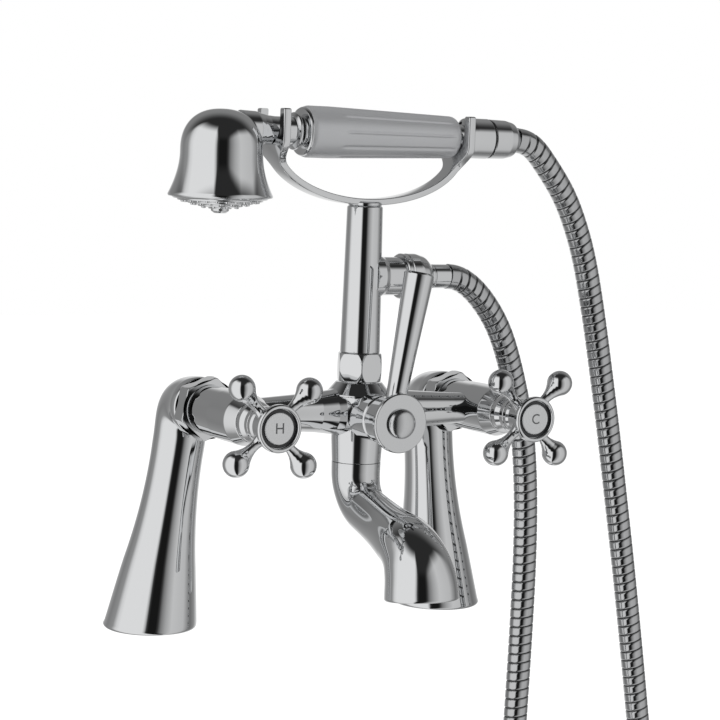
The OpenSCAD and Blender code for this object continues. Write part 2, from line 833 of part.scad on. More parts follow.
module diverter_spindle() {
    color("goldenrod")
        diverter_frame()
            difference() {
                union() {
                    bore(crank_d, crank_back, crank_back + crank_t);
                    bore(spindle_d, crank_back, hub_back);
                    bore(spline_d, hub_back, disc_back - 1);
                    translate([pin_side, -pin_drop, 0])
                        bore(crank_pin_d, crank_back - pin_reach, crank_back);
                }
                tube(spindle_d + over, seal_groove_d, diverter_seal_place - 0.7, diverter_seal_place + 0.7);
                bore(screw_d, disc_back - 10, disc_back);
            }
}

module diverter_seal() {
    color("black") diverter_frame() o_ring(seal_groove_d, spindle_d, diverter_seal_place);
}

module lever_frame() {
    translate([0, -lever_place, diverter_h]) rotate([0, lever_lean, 0]) children();
}

module diverter_hub() {
    color("silver")
        difference() {
            diverter_frame()
                turned([[spline_d / 2 + fit_gap, hub_back], [diverter_d / 2 - 0.5, hub_back],
                        [diverter_d / 2, hub_back + 0.5], [diverter_d / 2, disc_back],
                        [spline_d / 2 + fit_gap, disc_back]]);
            lever_frame() bore(lever_root_d / 2 + 2 * fit_gap, spline_d / 2 + 1.2, diverter_d);
        }
}

module diverter_lever() {
    edge = 0.8;
    color("silver")
        difference() {
            lever_frame()
                turned([[0, spline_d / 2 + 1.6], [lever_root_d / 4, spline_d / 2 + 1.6],
                        [lever_root_d / 4, diverter_d / 2 - 1.8], [lever_root_d / 2, diverter_d / 2 - 1.8],
                        [lever_tip_d / 2, lever_reach - edge], [lever_tip_d / 2 - edge, lever_reach],
                        [0, lever_reach]]);
            diverter_frame()
                tube(diverter_d + 2 * fit_gap, lever_root_d / 2 + over, hub_back - over, disc_back + over);
        }
}

module diverter_disc() {
    color("lightgray")
        diverter_frame()
            turned([[screw_d / 2 + 0.2, disc_back], [disc_d / 2 - 0.4, disc_back],
                    [disc_d / 2, disc_back + 0.4], [disc_d / 2, disc_front - 0.5],
                    [disc_d / 2 - 0.5, disc_front], [screw_head_d / 2 + 0.2, disc_front],
                    [screw_head_d / 2 + 0.2, disc_front - screw_head_t],
                    [screw_d / 2 + 0.2, disc_front - screw_head_t]]);
}

module diverter_screw() {
    head = disc_front - screw_head_t;
    color("gray")
        diverter_frame() {
            bore(screw_d - 2 * fit_gap, disc_back - 8, head);
            bore(screw_head_d, head, disc_front - 0.2);
        }
}

module diverter_dome() {
    edge_h = 1.6;
    cap_h = dome_h - edge_h;
    cap_r = (dome_d * dome_d / 4 + cap_h * cap_h) / (2 * cap_h);
    rise = asin(dome_d / 2 / cap_r);
    color("silver")
        diverter_frame()
            turned(concat([[0, disc_front], [dome_d / 2, disc_front]],
                arc([0, disc_front + dome_h - cap_r], cap_r, 90 - rise, 90, 10)));
}

module diverter_shuttle() {
    stem_d = 4.4;
    block = [10.4, 6, 8];
    slot_h = crank_pin_d + 2 * slot_gap;
    low = chamber_low + shuttle_down + stop_gap + washer_t;
    high = chamber_high - shuttle_up - stop_gap - washer_t;
    color("goldenrod")
        centre_frame()
            difference() {
                union() {
                    bore(stem_d, low, high);
                    bore(holder_d, low, low + holder_t);
                    bore(holder_d, high - holder_t, high);
                    translate([-3, -block[1] / 2, shuttle_h - block[2] / 2]) cube(block);
                }
                translate([pin_side - crank_pin_d / 2 - 1.9, -block[1], shuttle_h - slot_h / 2])
                    cube([block[0], 2 * block[1], slot_h]);
            }
}

module shuttle_washers() {
    color("black")
        centre_frame() {
            low = chamber_low + shuttle_down + stop_gap;
            high = chamber_high - shuttle_up - stop_gap;
            bore(holder_d, low, low + washer_t);
            bore(holder_d, high - washer_t, high);
        }
}

// Spout: a swelling tube that runs down, forward and down again
spout_drop = 4.8;
spout_slope = 15;
spout_fall = 83;
spout_tip = 4.5;
upper_arc = spout_upper_bend * (90 - spout_slope) * PI / 180;
lower_arc = spout_lower_bend * (spout_fall - spout_slope) * PI / 180;
run_from = spout_drop + upper_arc;
lower_from = run_from + spout_run;
tip_from = lower_from + lower_arc;
spout_len = tip_from + spout_tip;
spout_girth = [
    [0, centre_d - 1.3], [9, 25.6], [18, 24.5], [31, 24], [50, 25.4],
    [69, 29.8], [80, 32.4], [88, 35], [97, 37.2], [spout_len, mouth_d]
];
spout_sides = 24;
spout_rings = 30;

// Angle of the spout below the horizontal at a length along it
function spout_angle(s) =
    s < spout_drop ? 90 :
    s < run_from ? 90 - (90 - spout_slope) * (s - spout_drop) / upper_arc :
    s < lower_from ? spout_slope :
    s < tip_from ? spout_slope + (spout_fall - spout_slope) * (s - lower_from) / lower_arc :
    spout_fall;

function heading(a) = [0, -cos(a), -sin(a)];
function bend_step(r, from, to) = r * [0, sign(to - from) * (sin(from) - sin(to)),
                                       sign(to - from) * (cos(to) - cos(from))];

// Place of the spout's middle at a length along it
function spout_point(s) =
    let (top = [0, -body_reach, spout_joint_h],
         a = spout_angle(s),
         p1 = top + spout_drop * heading(90),
         p2 = p1 + bend_step(spout_upper_bend, 90, spout_slope),
         p3 = p2 + spout_run * heading(spout_slope),
         p4 = p3 + bend_step(spout_lower_bend, spout_slope, spout_fall))
    s < spout_drop ? top + s * heading(90) :
    s < run_from ? p1 + bend_step(spout_upper_bend, 90, a) :
    s < lower_from ? p2 + (s - run_from) * heading(spout_slope) :
    s < tip_from ? p3 + bend_step(spout_lower_bend, spout_slope, a) :
    p4 + (s - tip_from) * heading(spout_fall);

function spout_ring(s, r) = ring(spout_point(s), heading(spout_angle(s)), [1, 0, 0], r, spout_sides);
function spout_bore_r(s) =
    let (full = lookup(s, spout_girth) / 2 - spout_wall) min(full, seat_d / 2 + s * 0.6);

module spout() {
    color("silver") {
        stations = [for (i = [0 : spout_rings]) spout_len * i / spout_rings];
        ring_tube([for (s = stations) spout_ring(s, lookup(s, spout_girth) / 2)],
                  [for (s = stations) spout_ring(s, spout_bore_r(s))], spout_sides);
        centre_frame()
            difference() {
                bore(joint_spigot_d, spout_joint_h, spout_joint_h + joint_spigot_h);
                bore(seat_d - 0.4, spout_joint_h - over, spout_joint_h + joint_spigot_h + over);
                tube(joint_spigot_d + over, joint_spigot_d - 3, spout_joint_h + 1.4, spout_joint_h + 3);
            }
    }
}

module spout_seal() {
    color("black") centre_frame() o_ring(joint_spigot_d - 3, joint_spigot_d, spout_joint_h + 2.2);
}

// Riser with its hose outlet
module riser_nut() {
    color("silver")
        centre_frame()
            difference() {
                translate([0, 0, nut_low]) chamfered_hex(riser_flats, riser_foot - nut_low, riser_corner);
                bore(riser_spigot_d + 2 * spigot_gap, nut_low - over, riser_foot + over);
                bore(joint_spigot_d + 2 * fit_gap, nut_low - over, riser_lip);
            }
}

module riser_washer() {
    color("saddlebrown")
        centre_frame()
            tube(joint_spigot_d - 0.6, seat_d, body_top_h + riser_thread_h, riser_flange_low);
}

module riser_pipe() {
    edge = 0.6;
    way_end = outlet_h + 8;
    color("silver")
        difference() {
            union() {
                centre_frame()
                    turned([[0, riser_flange_low], [joint_spigot_d / 2 - 0.3, riser_flange_low],
                            [joint_spigot_d / 2 - 0.3, riser_flange_low + riser_flange_t],
                            [riser_spigot_d / 2, riser_flange_low + riser_flange_t],
                            [riser_spigot_d / 2, riser_foot], [riser_foot_d / 2, riser_foot],
                            [riser_top_d / 2, riser_top_h - edge],
                            [riser_top_d / 2 - edge, riser_top_h], [0, riser_top_h]]);
                outlet_frame() {
                    bore(outlet_d, 0, outlet_reach);
                    bore(outlet_thread_d, 0, outlet_thread_end);
                }
            }
            centre_frame() {
                bore(riser_bore_d, riser_flange_low - over, way_end);
                bore(cradle_screw_d, riser_top_h - 12, riser_top_h + over);
            }
            outlet_frame() bore(outlet_bore_d, 0, outlet_thread_end + over);
        }
}

// Hose fittings, counted along their own axis
module coupling_nut(thread_d, from, flange, to, d) {
    end_chamfer = 2.6;
    difference() {
        turned([[0, from], [d / 2 - 0.5, from], [d / 2, from + 0.5], [d / 2 - 0.5, to - end_chamfer],
                [nut_end_d / 2, to], [0, to]]);
        bore(thread_d + 2 * fit_gap, from - over, flange + ferrule_flange_t + 0.2);
        bore(ferrule_d + 2 * liner_gap, from, to + over);
    }
}

module ferrule(thread_d, flange, to) {
    difference() {
        union() {
            bore(thread_d - 0.4, flange, flange + ferrule_flange_t);
            bore(ferrule_d, flange, to);
        }
        bore(hose_bore_d, flange - over, to + over);
        bore(liner_d + 2 * liner_gap, to - liner_depth, to + over);
    }
}

module outlet_washer() {
    color("black")
        outlet_frame() tube(outlet_thread_d - 0.4, outlet_bore_d, outlet_thread_end, outlet_flange);
}

module outlet_nut() {
    color("silver")
        outlet_frame() coupling_nut(outlet_thread_d, outlet_reach, outlet_flange, outlet_nut_end, nut_d);
}

module outlet_ferrule() {
    color("silver") outlet_frame() ferrule(outlet_thread_d, outlet_flange, outlet_hose_start);
}

// Cradle: a bowed strap with a two-pronged fork at each end
function bow(half_span, depth) =
    [for (i = [0 : 40]) let (a = 180 + 180 * i / 40) [half_span * cos(a), spring_h + depth * sin(a)]];
function flip(points) = [for (i = [len(points) - 1 : -1 : 0]) points[i]];

module cradle_side() {
    out_x = fork_x + prong_t / 2;
    in_x = fork_x - prong_t / 2;
    polygon(concat([[-out_x, fork_top_h]], bow(out_x, strap_bow + strap_t / 2),
                   [[out_x, fork_top_h], [in_x, fork_top_h]],
                   flip(bow(in_x, strap_bow - strap_t / 2)), [[-in_x, fork_top_h]]));
}

module cradle_front() {
    slot_mid = fork_low + fork_slot / 2;
    floor_h = spring_h - strap_bow - strap_t;
    difference() {
        polygon([[-strap_w / 2, floor_h], [strap_w / 2, floor_h], [strap_w / 2, strap_narrow_h],
                 [prong_out, strap_wide_h], [prong_out, fork_top_h + over],
                 [-prong_out, fork_top_h + over], [-prong_out, strap_wide_h],
                 [-strap_w / 2, strap_narrow_h]]);
        translate([0, slot_mid]) circle(d = fork_slot);
        translate([-fork_slot / 2, slot_mid]) square([fork_slot, fork_top_h]);
    }
}

module cradle() {
    span = 2 * fork_x + 2 * prong_t;
    pad_low = riser_top_h;
    color("silver")
        centre_frame()
            difference() {
                union() {
                    intersection() {
                        translate([0, prong_out + over, 0])
                            rotate([90, 0, 0]) linear_extrude(2 * prong_out + 2 * over) cradle_side();
                        translate([-span / 2, 0, 0])
                            rotate([90, 0, 90]) linear_extrude(span) cradle_front();
                    }
                    bore(riser_top_d - 1, pad_low, pad_low + pad_t);
                }
                bore(cradle_screw_d + 0.4, pad_low - over, spring_h);
                bore(cradle_screw_d + 4, pad_low + pad_t - 0.4, spring_h);
            }
}

module cradle_screw() {
    seat = riser_top_h + pad_t - 0.4;
    head_t = 1.8;
    slot_w = 1;
    color("gray")
        centre_frame()
            difference() {
                union() {
                    bore(cradle_screw_d - 2 * fit_gap, riser_top_h - 10, seat);
                    bore(cradle_screw_d + 3.6, seat, seat + head_t);
                }
                translate([-cradle_screw_d, -slot_w / 2, seat + head_t / 2])
                    cube([2 * cradle_screw_d, slot_w, head_t]);
            }
}

// Handset
function bell_outline(rim_r, wall_r, low, crown) = concat(
    [[rim_r, low], [rim_r, low + rim_t]],
    [for (i = [1 : 8]) let (a = 90 * i / 8)
        [wall_r + (rim_r - wall_r) * (1 - sin(a)), low + rim_t + flare_h * (1 - cos(a))]],
    [for (i = [0 : 12]) let (a = 90 * i / 12)
        [wall_r * pow(cos(a), 2 / crown_power),
         wall_top_h + (crown - wall_top_h) * pow(sin(a), 2 / crown_power)]]);

module handset_head() {
    arm_r = arm_root_d / 2;
    color("silver")
        difference() {
            union() {
                translate([bell_x, -body_reach, 0])
                    turned(concat([[0, bell_rim_h]],
                        bell_outline(bell_rim_d / 2, bell_wall_d / 2, bell_rim_h, crown_h)));
                handset_frame()
                    turned([[0, bell_x], [arm_r, bell_x], [arm_r - 0.4, bell_x + 12],
                            [neck_d / 2 + 0.4, neck_start], [neck_d / 2, neck_start + 4],
                            [neck_d / 2, collar_start], [0, collar_start]]);
            }
            translate([bell_x, -body_reach, 0])
                turned(concat([[0, bell_rim_h - over], [bell_rim_d / 2 - bell_wall, bell_rim_h - over]],
                    bell_outline(bell_rim_d / 2 - bell_wall, bell_wall_d / 2 - bell_wall,
                                 bell_rim_h, crown_h - bell_wall)));
            handset_frame() {
                bore(tube_bore_d, bell_x, neck_start + over);
                bore(tube_d + 2 * fit_gap, neck_start, collar_start + over);
            }
        }
}

module head_seal() {
    color("black")
        translate([bell_x, -body_reach, 0])
            tube(plate_d - 4.6, plate_d - 12, plate_top, plate_top + 1.4);
}

module spray_plate() {
    color("silver")
        translate([bell_x, -body_reach, 0])
            difference() {
                turned([[0, plate_top], [plate_d / 2, plate_top],
                        [plate_d / 2, bell_rim_h], [plate_d / 2 - 1.2, bell_rim_h - 1],
                        [nub_d / 2, bell_rim_h - plate_drop], [0, bell_rim_h - plate_drop]]);
                bore(screw_d, bell_rim_h - plate_drop - over, bell_rim_h + 3);
                for (row = spray_rings)
                    for (i = [0 : row[1] * spray_holes - 1])
                        rotate([0, 0, 360 * i / (row[1] * spray_holes)])
                            translate([row[0], 0, 0])
                                bore(spray_hole_d, bell_rim_h - plate_drop - over, bell_rim_h + 3);
            }
}

module spray_screw() {
    nub_low = bell_rim_h - plate_drop - nub_h;
    color("silver")
        translate([bell_x, -body_reach, 0]) {
            turned(concat([[0, nub_low]],
                [[nub_d / 2 - 1.4, nub_low], [nub_d / 2, nub_low + 1.4],
                 [nub_d / 2, nub_low + nub_h], [0, nub_low + nub_h]]));
            bore(screw_d - 2 * fit_gap, nub_low + nub_h, bell_rim_h + 3);
        }
}

module handset_tube() {
    color("goldenrod") handset_frame() tube(tube_d, tube_bore_d, neck_start + over, tail_neck_end);
}

module front_collar() {
    bead_r = 10.8;
    lip_r = grip_front_d / 2 - 0.45;
    color("silver")
        handset_frame()
            turned([[tube_d / 2 + fit_gap, collar_start], [neck_d / 2 + 0.3, collar_start],
                    [neck_d / 2 + 1.1, collar_start + 0.6], [bead_r, collar_start + 2],
                    [bead_r, collar_start + 3.2], [bead_r - 1, collar_start + 3.8],
                    [lip_r - 0.3, collar_start + 5.6], [lip_r, grip_start], [tube_d / 2 + fit_gap, grip_start]]);
}

module handset_grip() {
    flute_from = grip_start + 20.6;
    flute_to = grip_end - 5;
    front_r = grip_front_d / 2;
    rear_r = grip_rear_d / 2;
    flute_r = 1.6;
    flute_tilt = atan((front_r - rear_r) / (flute_to - flute_from));
    color("darkgray")
        handset_frame()
            difference() {
                turned([[tube_d / 2 + fit_gap, grip_start], [front_r - 0.75, grip_start],
                        [front_r, grip_start + 2.6], [front_r, flute_from - 2],
                        [rear_r, flute_to], [rear_r - 0.8, grip_end - 3], [neck_d / 2 + 0.8, grip_end],
                        [tube_d / 2 + fit_gap, grip_end]]);
                for (i = [0 : grip_flutes - 1])
                    rotate([0, 0, 360 * i / grip_flutes])
                        translate([front_r + flute_r - flute_depth, 0, flute_from])
                            rotate([0, -flute_tilt, 0])
                                cylinder(r = flute_r, h = flute_to - flute_from);
            }
}

module handset_tail() {
    tail_r = tail_d / 2;
    color("silver")
        handset_frame()
            turned([[tube_d / 2 + fit_gap, grip_end], [neck_d / 2, grip_end], [neck_d / 2, tail_neck_end],
                    [tail_r - 1.4, tail_neck_end + 0.4], [tail_r - 0.1, tail_neck_end + 1.6],
                    [tail_r - 0.1, tail_neck_end + 3], [tail_r - 0.6, tail_neck_end + 3.6],
                    [tail_r, tail_neck_end + 4.4], [tail_r, tail_end], [tail_thread_d / 2, tail_end],
                    [tail_thread_d / 2, tail_thread_end], [tube_bore_d / 2, tail_thread_end],
                    [tube_bore_d / 2, tail_neck_end], [tube_d / 2 + fit_gap, tail_neck_end]]);
}

module tail_seal_ring() {
    color("black") handset_frame() tube(tail_d - 0.8, tail_thread_d + 2 * fit_gap, tail_end, hose_nut_start);
}

module tail_washer() {
    color("black") handset_frame() tube(tail_thread_d - 0.4, tube_bore_d, tail_thread_end, tail_flange);
}

module hose_nut() {
    color("silver")
        handset_frame() coupling_nut(tail_thread_d, hose_nut_start, tail_flange, hose_nut_end, tail_d - 0.4);
}

module hose_ferrule() {
    color("silver") handset_frame() ferrule(tail_thread_d, tail_flange, handset_hose_start);
}

// Hose: an interlocked metal strip wound round a rubber liner
// Its ends keep to their fittings where those move, and the slack beside them takes up the change
route_last = len(hose_route) - 1;
outlet_shift = [outlet_hose_start, -body_reach, outlet_h] - hose_route[held_points - 1];
handset_shift = [handset_hose_start, -body_reach, handset_h] - hose_route[route_last - held_points + 1];
function held(k) = max(0, min(1, 1 - (k - held_points) / slack_points));
hose_path = [for (k = [0 : route_last])
    hose_route[k] + held(k) * outlet_shift + held(route_last - k) * handset_shift];

function hose_at(u) =
    let (last = len(hose_path) - 1, k = min(floor(u), last - 1), f = u - k,
         b = hose_path[k], c = hose_path[k + 1],
         a = k > 0 ? hose_path[k - 1] : 2 * b - c,
         d = k + 2 <= last ? hose_path[k + 2] : 2 * c - b)
    0.5 * (2 * b + (c - a) * f + (2 * a - 5 * b + 4 * c - d) * f * f
           + (3 * b - a - 3 * c + d) * f * f * f);
function hose_heading(u) =
    let (last = len(hose_path) - 1)
    unit(hose_at(min(u + 0.02, last)) - hose_at(max(u - 0.02, 0)));

// Length run along the hose, paired with the place on its route
hose_steps = 20 * (len(hose_path) - 1);
hose_marks = [for (i = 0, run = 0; i <= hose_steps;
                   i = i + 1, run = run + norm(hose_at(min(i, hose_steps) / 20) - hose_at((i - 1) / 20)))
                  [run, i / 20]];
hose_len = hose_marks[hose_steps][0];
function hose_ring(run, d) =
    let (u = lookup(run, hose_marks))
    ring(hose_at(u), hose_heading(u), [0, 1, 0], d / 2, hose_sides);

module shower_hose() {
    rib_start = liner_depth + rib_gap;
    ribbed = hose_len - 2 * rib_start;
    groove_d = hose_d - 2 * rib_depth;
    outer = concat(
        [hose_ring(0, liner_d), hose_ring(rib_start, liner_d)],
        [for (i = [0 : 2 * hose_ribs])
            hose_ring(rib_start + ribbed * i / (2 * hose_ribs), i % 2 == 0 ? groove_d : hose_d)],
        [hose_ring(hose_len - rib_start, liner_d), hose_ring(hose_len, liner_d)]);
    inner = [for (i = [0 : bore_rings]) hose_ring(hose_len * i / bore_rings, hose_bore_d)];
    echo(hose_length = hose_len);
    color("silver") ring_tube(outer, inner, hose_sides);
}

hot_leg();
cold_leg();
foot_gaskets();
hot_union_nut();
cold_union_nut();
union_washers();
mixer_body();
hot_valve_insert();
cold_valve_insert();
hot_fixed_disc();
cold_fixed_disc();
valve_seat_seals();
hot_valve_collar();
cold_valve_collar();
hot_spindle();
cold_spindle();
hot_moving_disc();
cold_moving_disc();
hot_spindle_seal();
cold_spindle_seal();
hot_cross_handle();
cold_cross_handle();
hot_handle_screw();
cold_handle_screw();
hot_index_disc();
cold_index_disc();
diverter_barrel();
diverter_spindle();
diverter_seal();
diverter_hub();
diverter_lever();
diverter_disc();
diverter_screw();
diverter_dome();
diverter_shuttle();
shuttle_washers();
spout();
spout_seal();
riser_nut();
riser_washer();
riser_pipe();
outlet_washer();
outlet_nut();
outlet_ferrule();
cradle();
cradle_screw();
handset_head();
head_seal();
spray_plate();
spray_screw();
handset_tube();
front_collar();
handset_grip();
handset_tail();
tail_seal_ring();
tail_washer();
hose_nut();
hose_ferrule();
shower_hose();
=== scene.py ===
import math

import bmesh
import bpy
from mathutils import Matrix, Vector


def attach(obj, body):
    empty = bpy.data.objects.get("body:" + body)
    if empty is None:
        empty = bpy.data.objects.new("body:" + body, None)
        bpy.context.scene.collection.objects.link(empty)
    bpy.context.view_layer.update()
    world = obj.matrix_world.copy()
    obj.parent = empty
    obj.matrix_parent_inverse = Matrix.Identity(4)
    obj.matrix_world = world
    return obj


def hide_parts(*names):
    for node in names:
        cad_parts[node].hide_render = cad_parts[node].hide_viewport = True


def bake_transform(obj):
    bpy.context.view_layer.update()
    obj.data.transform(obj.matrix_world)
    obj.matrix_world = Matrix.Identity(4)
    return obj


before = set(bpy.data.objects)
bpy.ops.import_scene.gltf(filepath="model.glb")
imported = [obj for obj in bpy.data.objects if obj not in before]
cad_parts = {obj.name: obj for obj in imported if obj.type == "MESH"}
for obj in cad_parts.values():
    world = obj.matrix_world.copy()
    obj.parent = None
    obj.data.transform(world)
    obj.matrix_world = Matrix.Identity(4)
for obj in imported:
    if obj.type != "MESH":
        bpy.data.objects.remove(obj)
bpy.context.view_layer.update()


# Camera
# The photograph was taken from a little above the handles, from the hot side, with a long lens.
# Its axes are written as turns about the upright, then down, then round the line of sight.
camera_turn = math.radians(29.77)
camera_pitch = math.radians(5.5)
camera_roll = math.radians(2.03)
camera_at = (-0.55205, -1.02511, 0.25530)
sight = Vector((math.sin(camera_turn) * math.cos(camera_pitch),
                math.cos(camera_turn) * math.cos(camera_pitch), -math.sin(camera_pitch)))
level_right = Vector((math.cos(camera_turn), -math.sin(camera_turn), 0))
level_up = level_right.cross(sight)
camera_right = level_right * math.cos(camera_roll) + level_up * math.sin(camera_roll)
camera_up = level_up * math.cos(camera_roll) - level_right * math.sin(camera_roll)


def linked(name, data):
    thing = bpy.data.objects.new(name, data)
    bpy.context.scene.collection.objects.link(thing)
    return thing


camera_data = bpy.data.cameras.new("photo_camera")
camera_data.sensor_fit = 'HORIZONTAL'
camera_data.sensor_width = 36
camera_data.lens = 105.9
camera_data.clip_end = 60
camera = linked("photo_camera", camera_data)
camera.matrix_world = Matrix((
    (camera_right.x, camera_up.x, -sight.x, camera_at[0]),
    (camera_right.y, camera_up.y, -sight.y, camera_at[1]),
    (camera_right.z, camera_up.z, -sight.z, camera_at[2]),
    (0, 0, 0, 1)))
bpy.context.scene.camera = camera


# Legs
# Two cast brass legs that sweep in from a broad foot to a slim neck and bend forward at the top.
# They are polished and chromed outside; the foot is recessed for its gasket and bored for the inlet.
MM = 0.001
VALVE_X = 75.4
INLET_X = 90.0
VALVE_Z = 121.2
REACH = 59.6


def rgb(code):
    values = [int(code[k:k + 2], 16) / 255 for k in (1, 3, 5)]
    linear = [v / 12.92 if v <= 0.04045 else ((v + 0.055) / 1.055) ** 2.4 for v in values]
    return (*linear, 1)


def add(tree, kind, inputs=None, **settings):
    node = tree.nodes.new(kind)
    for key, value in settings.items():
        setattr(node, key, value)
    for key, value in (inputs or {}).items():
        if isinstance(value, bpy.types.NodeSocket):
            tree.links.new(value, node.inputs[key])
        else:
            node.inputs[key].default_value = value
    return node


def mapped(tree, value, given=(0, 1), to=(0, 1), smooth=False):
    inputs = {"Value": value, "From Min": given[0], "From Max": given[1], "To Min": to[0], "To Max": to[1]}
    curve = 'SMOOTHSTEP' if smooth else 'LINEAR'
    return add(tree, "ShaderNodeMapRange", inputs, interpolation_type=curve).outputs["Result"]


# Noise whose features are about so many millimetres across
def grain(tree, size, **settings):
    place = add(tree, "ShaderNodeTexCoord")
    inputs = {"Vector": place.outputs["Object"], "Scale": 1 / (size * MM), **settings}
    return add(tree, "ShaderNodeTexNoise", inputs).outputs["Fac"]


def bumped(tree, height, strength, depth):
    inputs = {"Height": height, "Strength": strength, "Distance": depth * MM}
    return add(tree, "ShaderNodeBump", inputs).outputs["Normal"]


def new_material(name):
    material = bpy.data.materials.new(name)
    material.use_nodes = True
    tree = material.node_tree
    tree.nodes.clear()
    return material, tree


def surfaced(tree, inputs):
    shader = add(tree, "ShaderNodeBsdfPrincipled", inputs)
    add(tree, "ShaderNodeOutputMaterial", {"Surface": shader.outputs["BSDF"]})


# Bright chromium plate over polished brass: a neutral mirror whose polish lies in very soft waves,
# with a thin breath of water marks that dulls it here and there.
def chromed(name, colour, polish):
    material, tree = new_material(name)
    marks = grain(tree, 14, Detail=4, Roughness=0.55)
    dull = mapped(tree, marks, (0.35, 0.75), (polish, polish + 0.025))
    waves = bumped(tree, grain(tree, 9, Detail=1), 0.04, 0.1)
    surfaced(tree, {"Base Color": rgb(colour), "Metallic": 1.0, "Roughness": dull, "Normal": waves})
    return material


chrome_plate = chromed("chrome_plate_polished", "#D9DADB", 0.015)


def along(origin, axis, across):
    z = Vector(axis).normalized()
    x = Vector(across)
    x = (x - z * x.dot(z)).normalized()
    y = z.cross(x)
    return Matrix(((x.x, y.x, z.x, origin[0]), (x.y, y.y, z.y, origin[1]),
                   (x.z, y.z, z.z, origin[2]), (0, 0, 0, 1)))


# A ring of points of one radius at a height over a place
def hoop(place, radius, sides, z=0):
    turns = [2 * math.pi * k / sides for k in range(sides)]
    return [place @ Vector((radius * math.cos(a), radius * math.sin(a), z)) for a in turns]


def circle(centre, normal, across, radius, sides):
    return hoop(along(centre, normal, across), radius, sides)


# Skins a row of rings of equal count; the first and last are closed flat unless the row is a loop
def skin(bm, rings, loop=False):
    rows = [[bm.verts.new(p * MM) for p in ring] for ring in rings]
    pairs = list(zip(rows, rows[1:]))
    if loop:
        pairs.append((rows[-1], rows[0]))
    for low, high in pairs:
        for k in range(len(low)):
            n = (k + 1) % len(low)
            bm.faces.new((low[k], low[n], high[n], high[k]))
    if not loop:
        bm.faces.new(list(reversed(rows[0])))
        bm.faces.new(rows[-1])


def mesh_of(name, bm):
    mesh = bpy.data.meshes.new(name)
    bm.to_mesh(mesh)
    bm.free()
    return mesh


def piece(name, bm, material, body, nodes=(), crease=38):
    bmesh.ops.recalc_face_normals(bm, faces=bm.faces)
    mesh = mesh_of(name, bm)
    for polygon in mesh.polygons:
        polygon.use_smooth = True
    mesh.set_sharp_from_angle(angle=math.radians(crease))
    mesh.materials.append(material)
    thing = linked(name, mesh)
    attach(thing, body)
    if nodes:
        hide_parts(*nodes)
    return thing


# Eases from 0 to 1 with a soft start and end
def eased(share):
    share = min(1, max(0, share))
    return share * share * (3 - 2 * share)


leg_top = 5.6
leg_stop = -26.6
elbow_bend = 15.6
elbow_ease = 0.5
elbow_r = 15.8
elbow_crown = 3.2
leg_slim_r = 13.9
leg_slim_at = 94.0
leg_swell = 0.012
foot_cone_r = 19.5
foot_cone_at = 35.0
foot_r = 25.2
foot_edge = 1.8
foot_level = 40.0
foot_hollow = ((8.4, 34), (8.4, 16), (12.06, 16), (12.06, 0), (14.46, 0), (14.46, 2.5), (21.5, 2.5),
               (21.5, 0))


def leg_radius(s):
    if s < foot_cone_at:
        return foot_r + (foot_cone_r - foot_r) * s / foot_cone_at
    if s < leg_slim_at:
        left = (leg_slim_at - s) / (leg_slim_at - foot_cone_at)
        return leg_slim_r + (foot_cone_r - leg_slim_r) * left * left
    return leg_slim_r + leg_swell * (s - leg_slim_at)


# Line of the bend beside the leg's axis, and how far below the corner it starts
def elbow_line(turn):
    run = turn * elbow_bend / (1 - elbow_ease / 2)
    count = 160
    u = v = a = 0.0
    line = []
    for k in range(count):
        share = (k + 0.5) / count
        a += min(1, share / elbow_ease) / elbow_bend * run / count
        u += math.cos(a) * run / count
        v += math.sin(a) * run / count
        if k % 4 == 3:
            line.append(((k + 1) / count, u, v, a))
    return line, u - v * math.cos(turn) / math.sin(turn)


def leg(side, name):
    foot = Vector((side * INLET_X, 0, 0))
    corner = Vector((side * VALVE_X, -leg_top, VALVE_Z))
    axis = (corner - foot).normalized()
    length = (corner - foot).length
    front = Vector((0, -1, 0))
    turn = axis.angle(front)
    inward = (front - axis * axis.dot(front)).normalized()
    bend, setback = elbow_line(turn)
    across = Vector((1, 0, 0))
    up = Vector((0, 0, 1))
    sides = 96
    rings = [circle(foot + up * z, up, across, r, sides) for r, z in foot_hollow]
    for k in range(6):
        a = math.radians(90 * k / 5)
        r = foot_r - 0.2 - foot_edge * (1 - math.sin(a))
        rings.append(circle(foot + up * (foot_edge * (1 - math.cos(a))), up, across, r, sides))
    steps = 70
    for k in range(1, steps + 1):
        s = foot_edge + (length - setback - foot_edge) * k / steps
        normal = up.lerp(axis, eased(s / foot_level))
        rings.append(circle(foot + axis * s, normal, across, leg_radius(s), sides))
    neck = corner - axis * setback
    neck_r = leg_radius(length - setback)
    for share, u, v, a in bend:
        heading = axis * math.cos(a) + inward * math.sin(a)
        out = axis * math.sin(a) - inward * math.cos(a)
        full = elbow_crown * math.sin(math.pi * share ** 1.4) ** 2
        r = neck_r + (elbow_r - neck_r) * share ** 3 + full * 0.2
        rings.append(circle(neck + axis * u + inward * v + out * full * 0.8, heading, across, r, sides))
    for y, r in ((leg_stop + 1.0, elbow_r - 0.1), (leg_stop + 0.4, elbow_r - 0.35),
                 (leg_stop, elbow_r - 1.0), (leg_stop, 8.6), (leg_stop - 2.0, 8.6)):
        rings.append(circle(Vector((corner.x, y, corner.z)), front, across, r, sides))
    bm = bmesh.new()
    skin(bm, rings)
    return piece(name, bm, chrome_plate, "mixer", [name.replace("_chrome", "")])


leg(-1, "hot_leg_chrome")
leg(1, "cold_leg_chrome")


# Foot gaskets
# Flat rubber rings let into the underside of each foot, which seal it to the bath's deck.
# Moulded black rubber: matt, with a fine grain from the mould.
def rubber(name, colour, roughness):
    material, tree = new_material(name)
    mould = bumped(tree, grain(tree, 0.6, Detail=3), 0.3, 0.05)
    surfaced(tree, {"Base Color": rgb(colour), "Roughness": roughness, "Normal": mould})
    return material


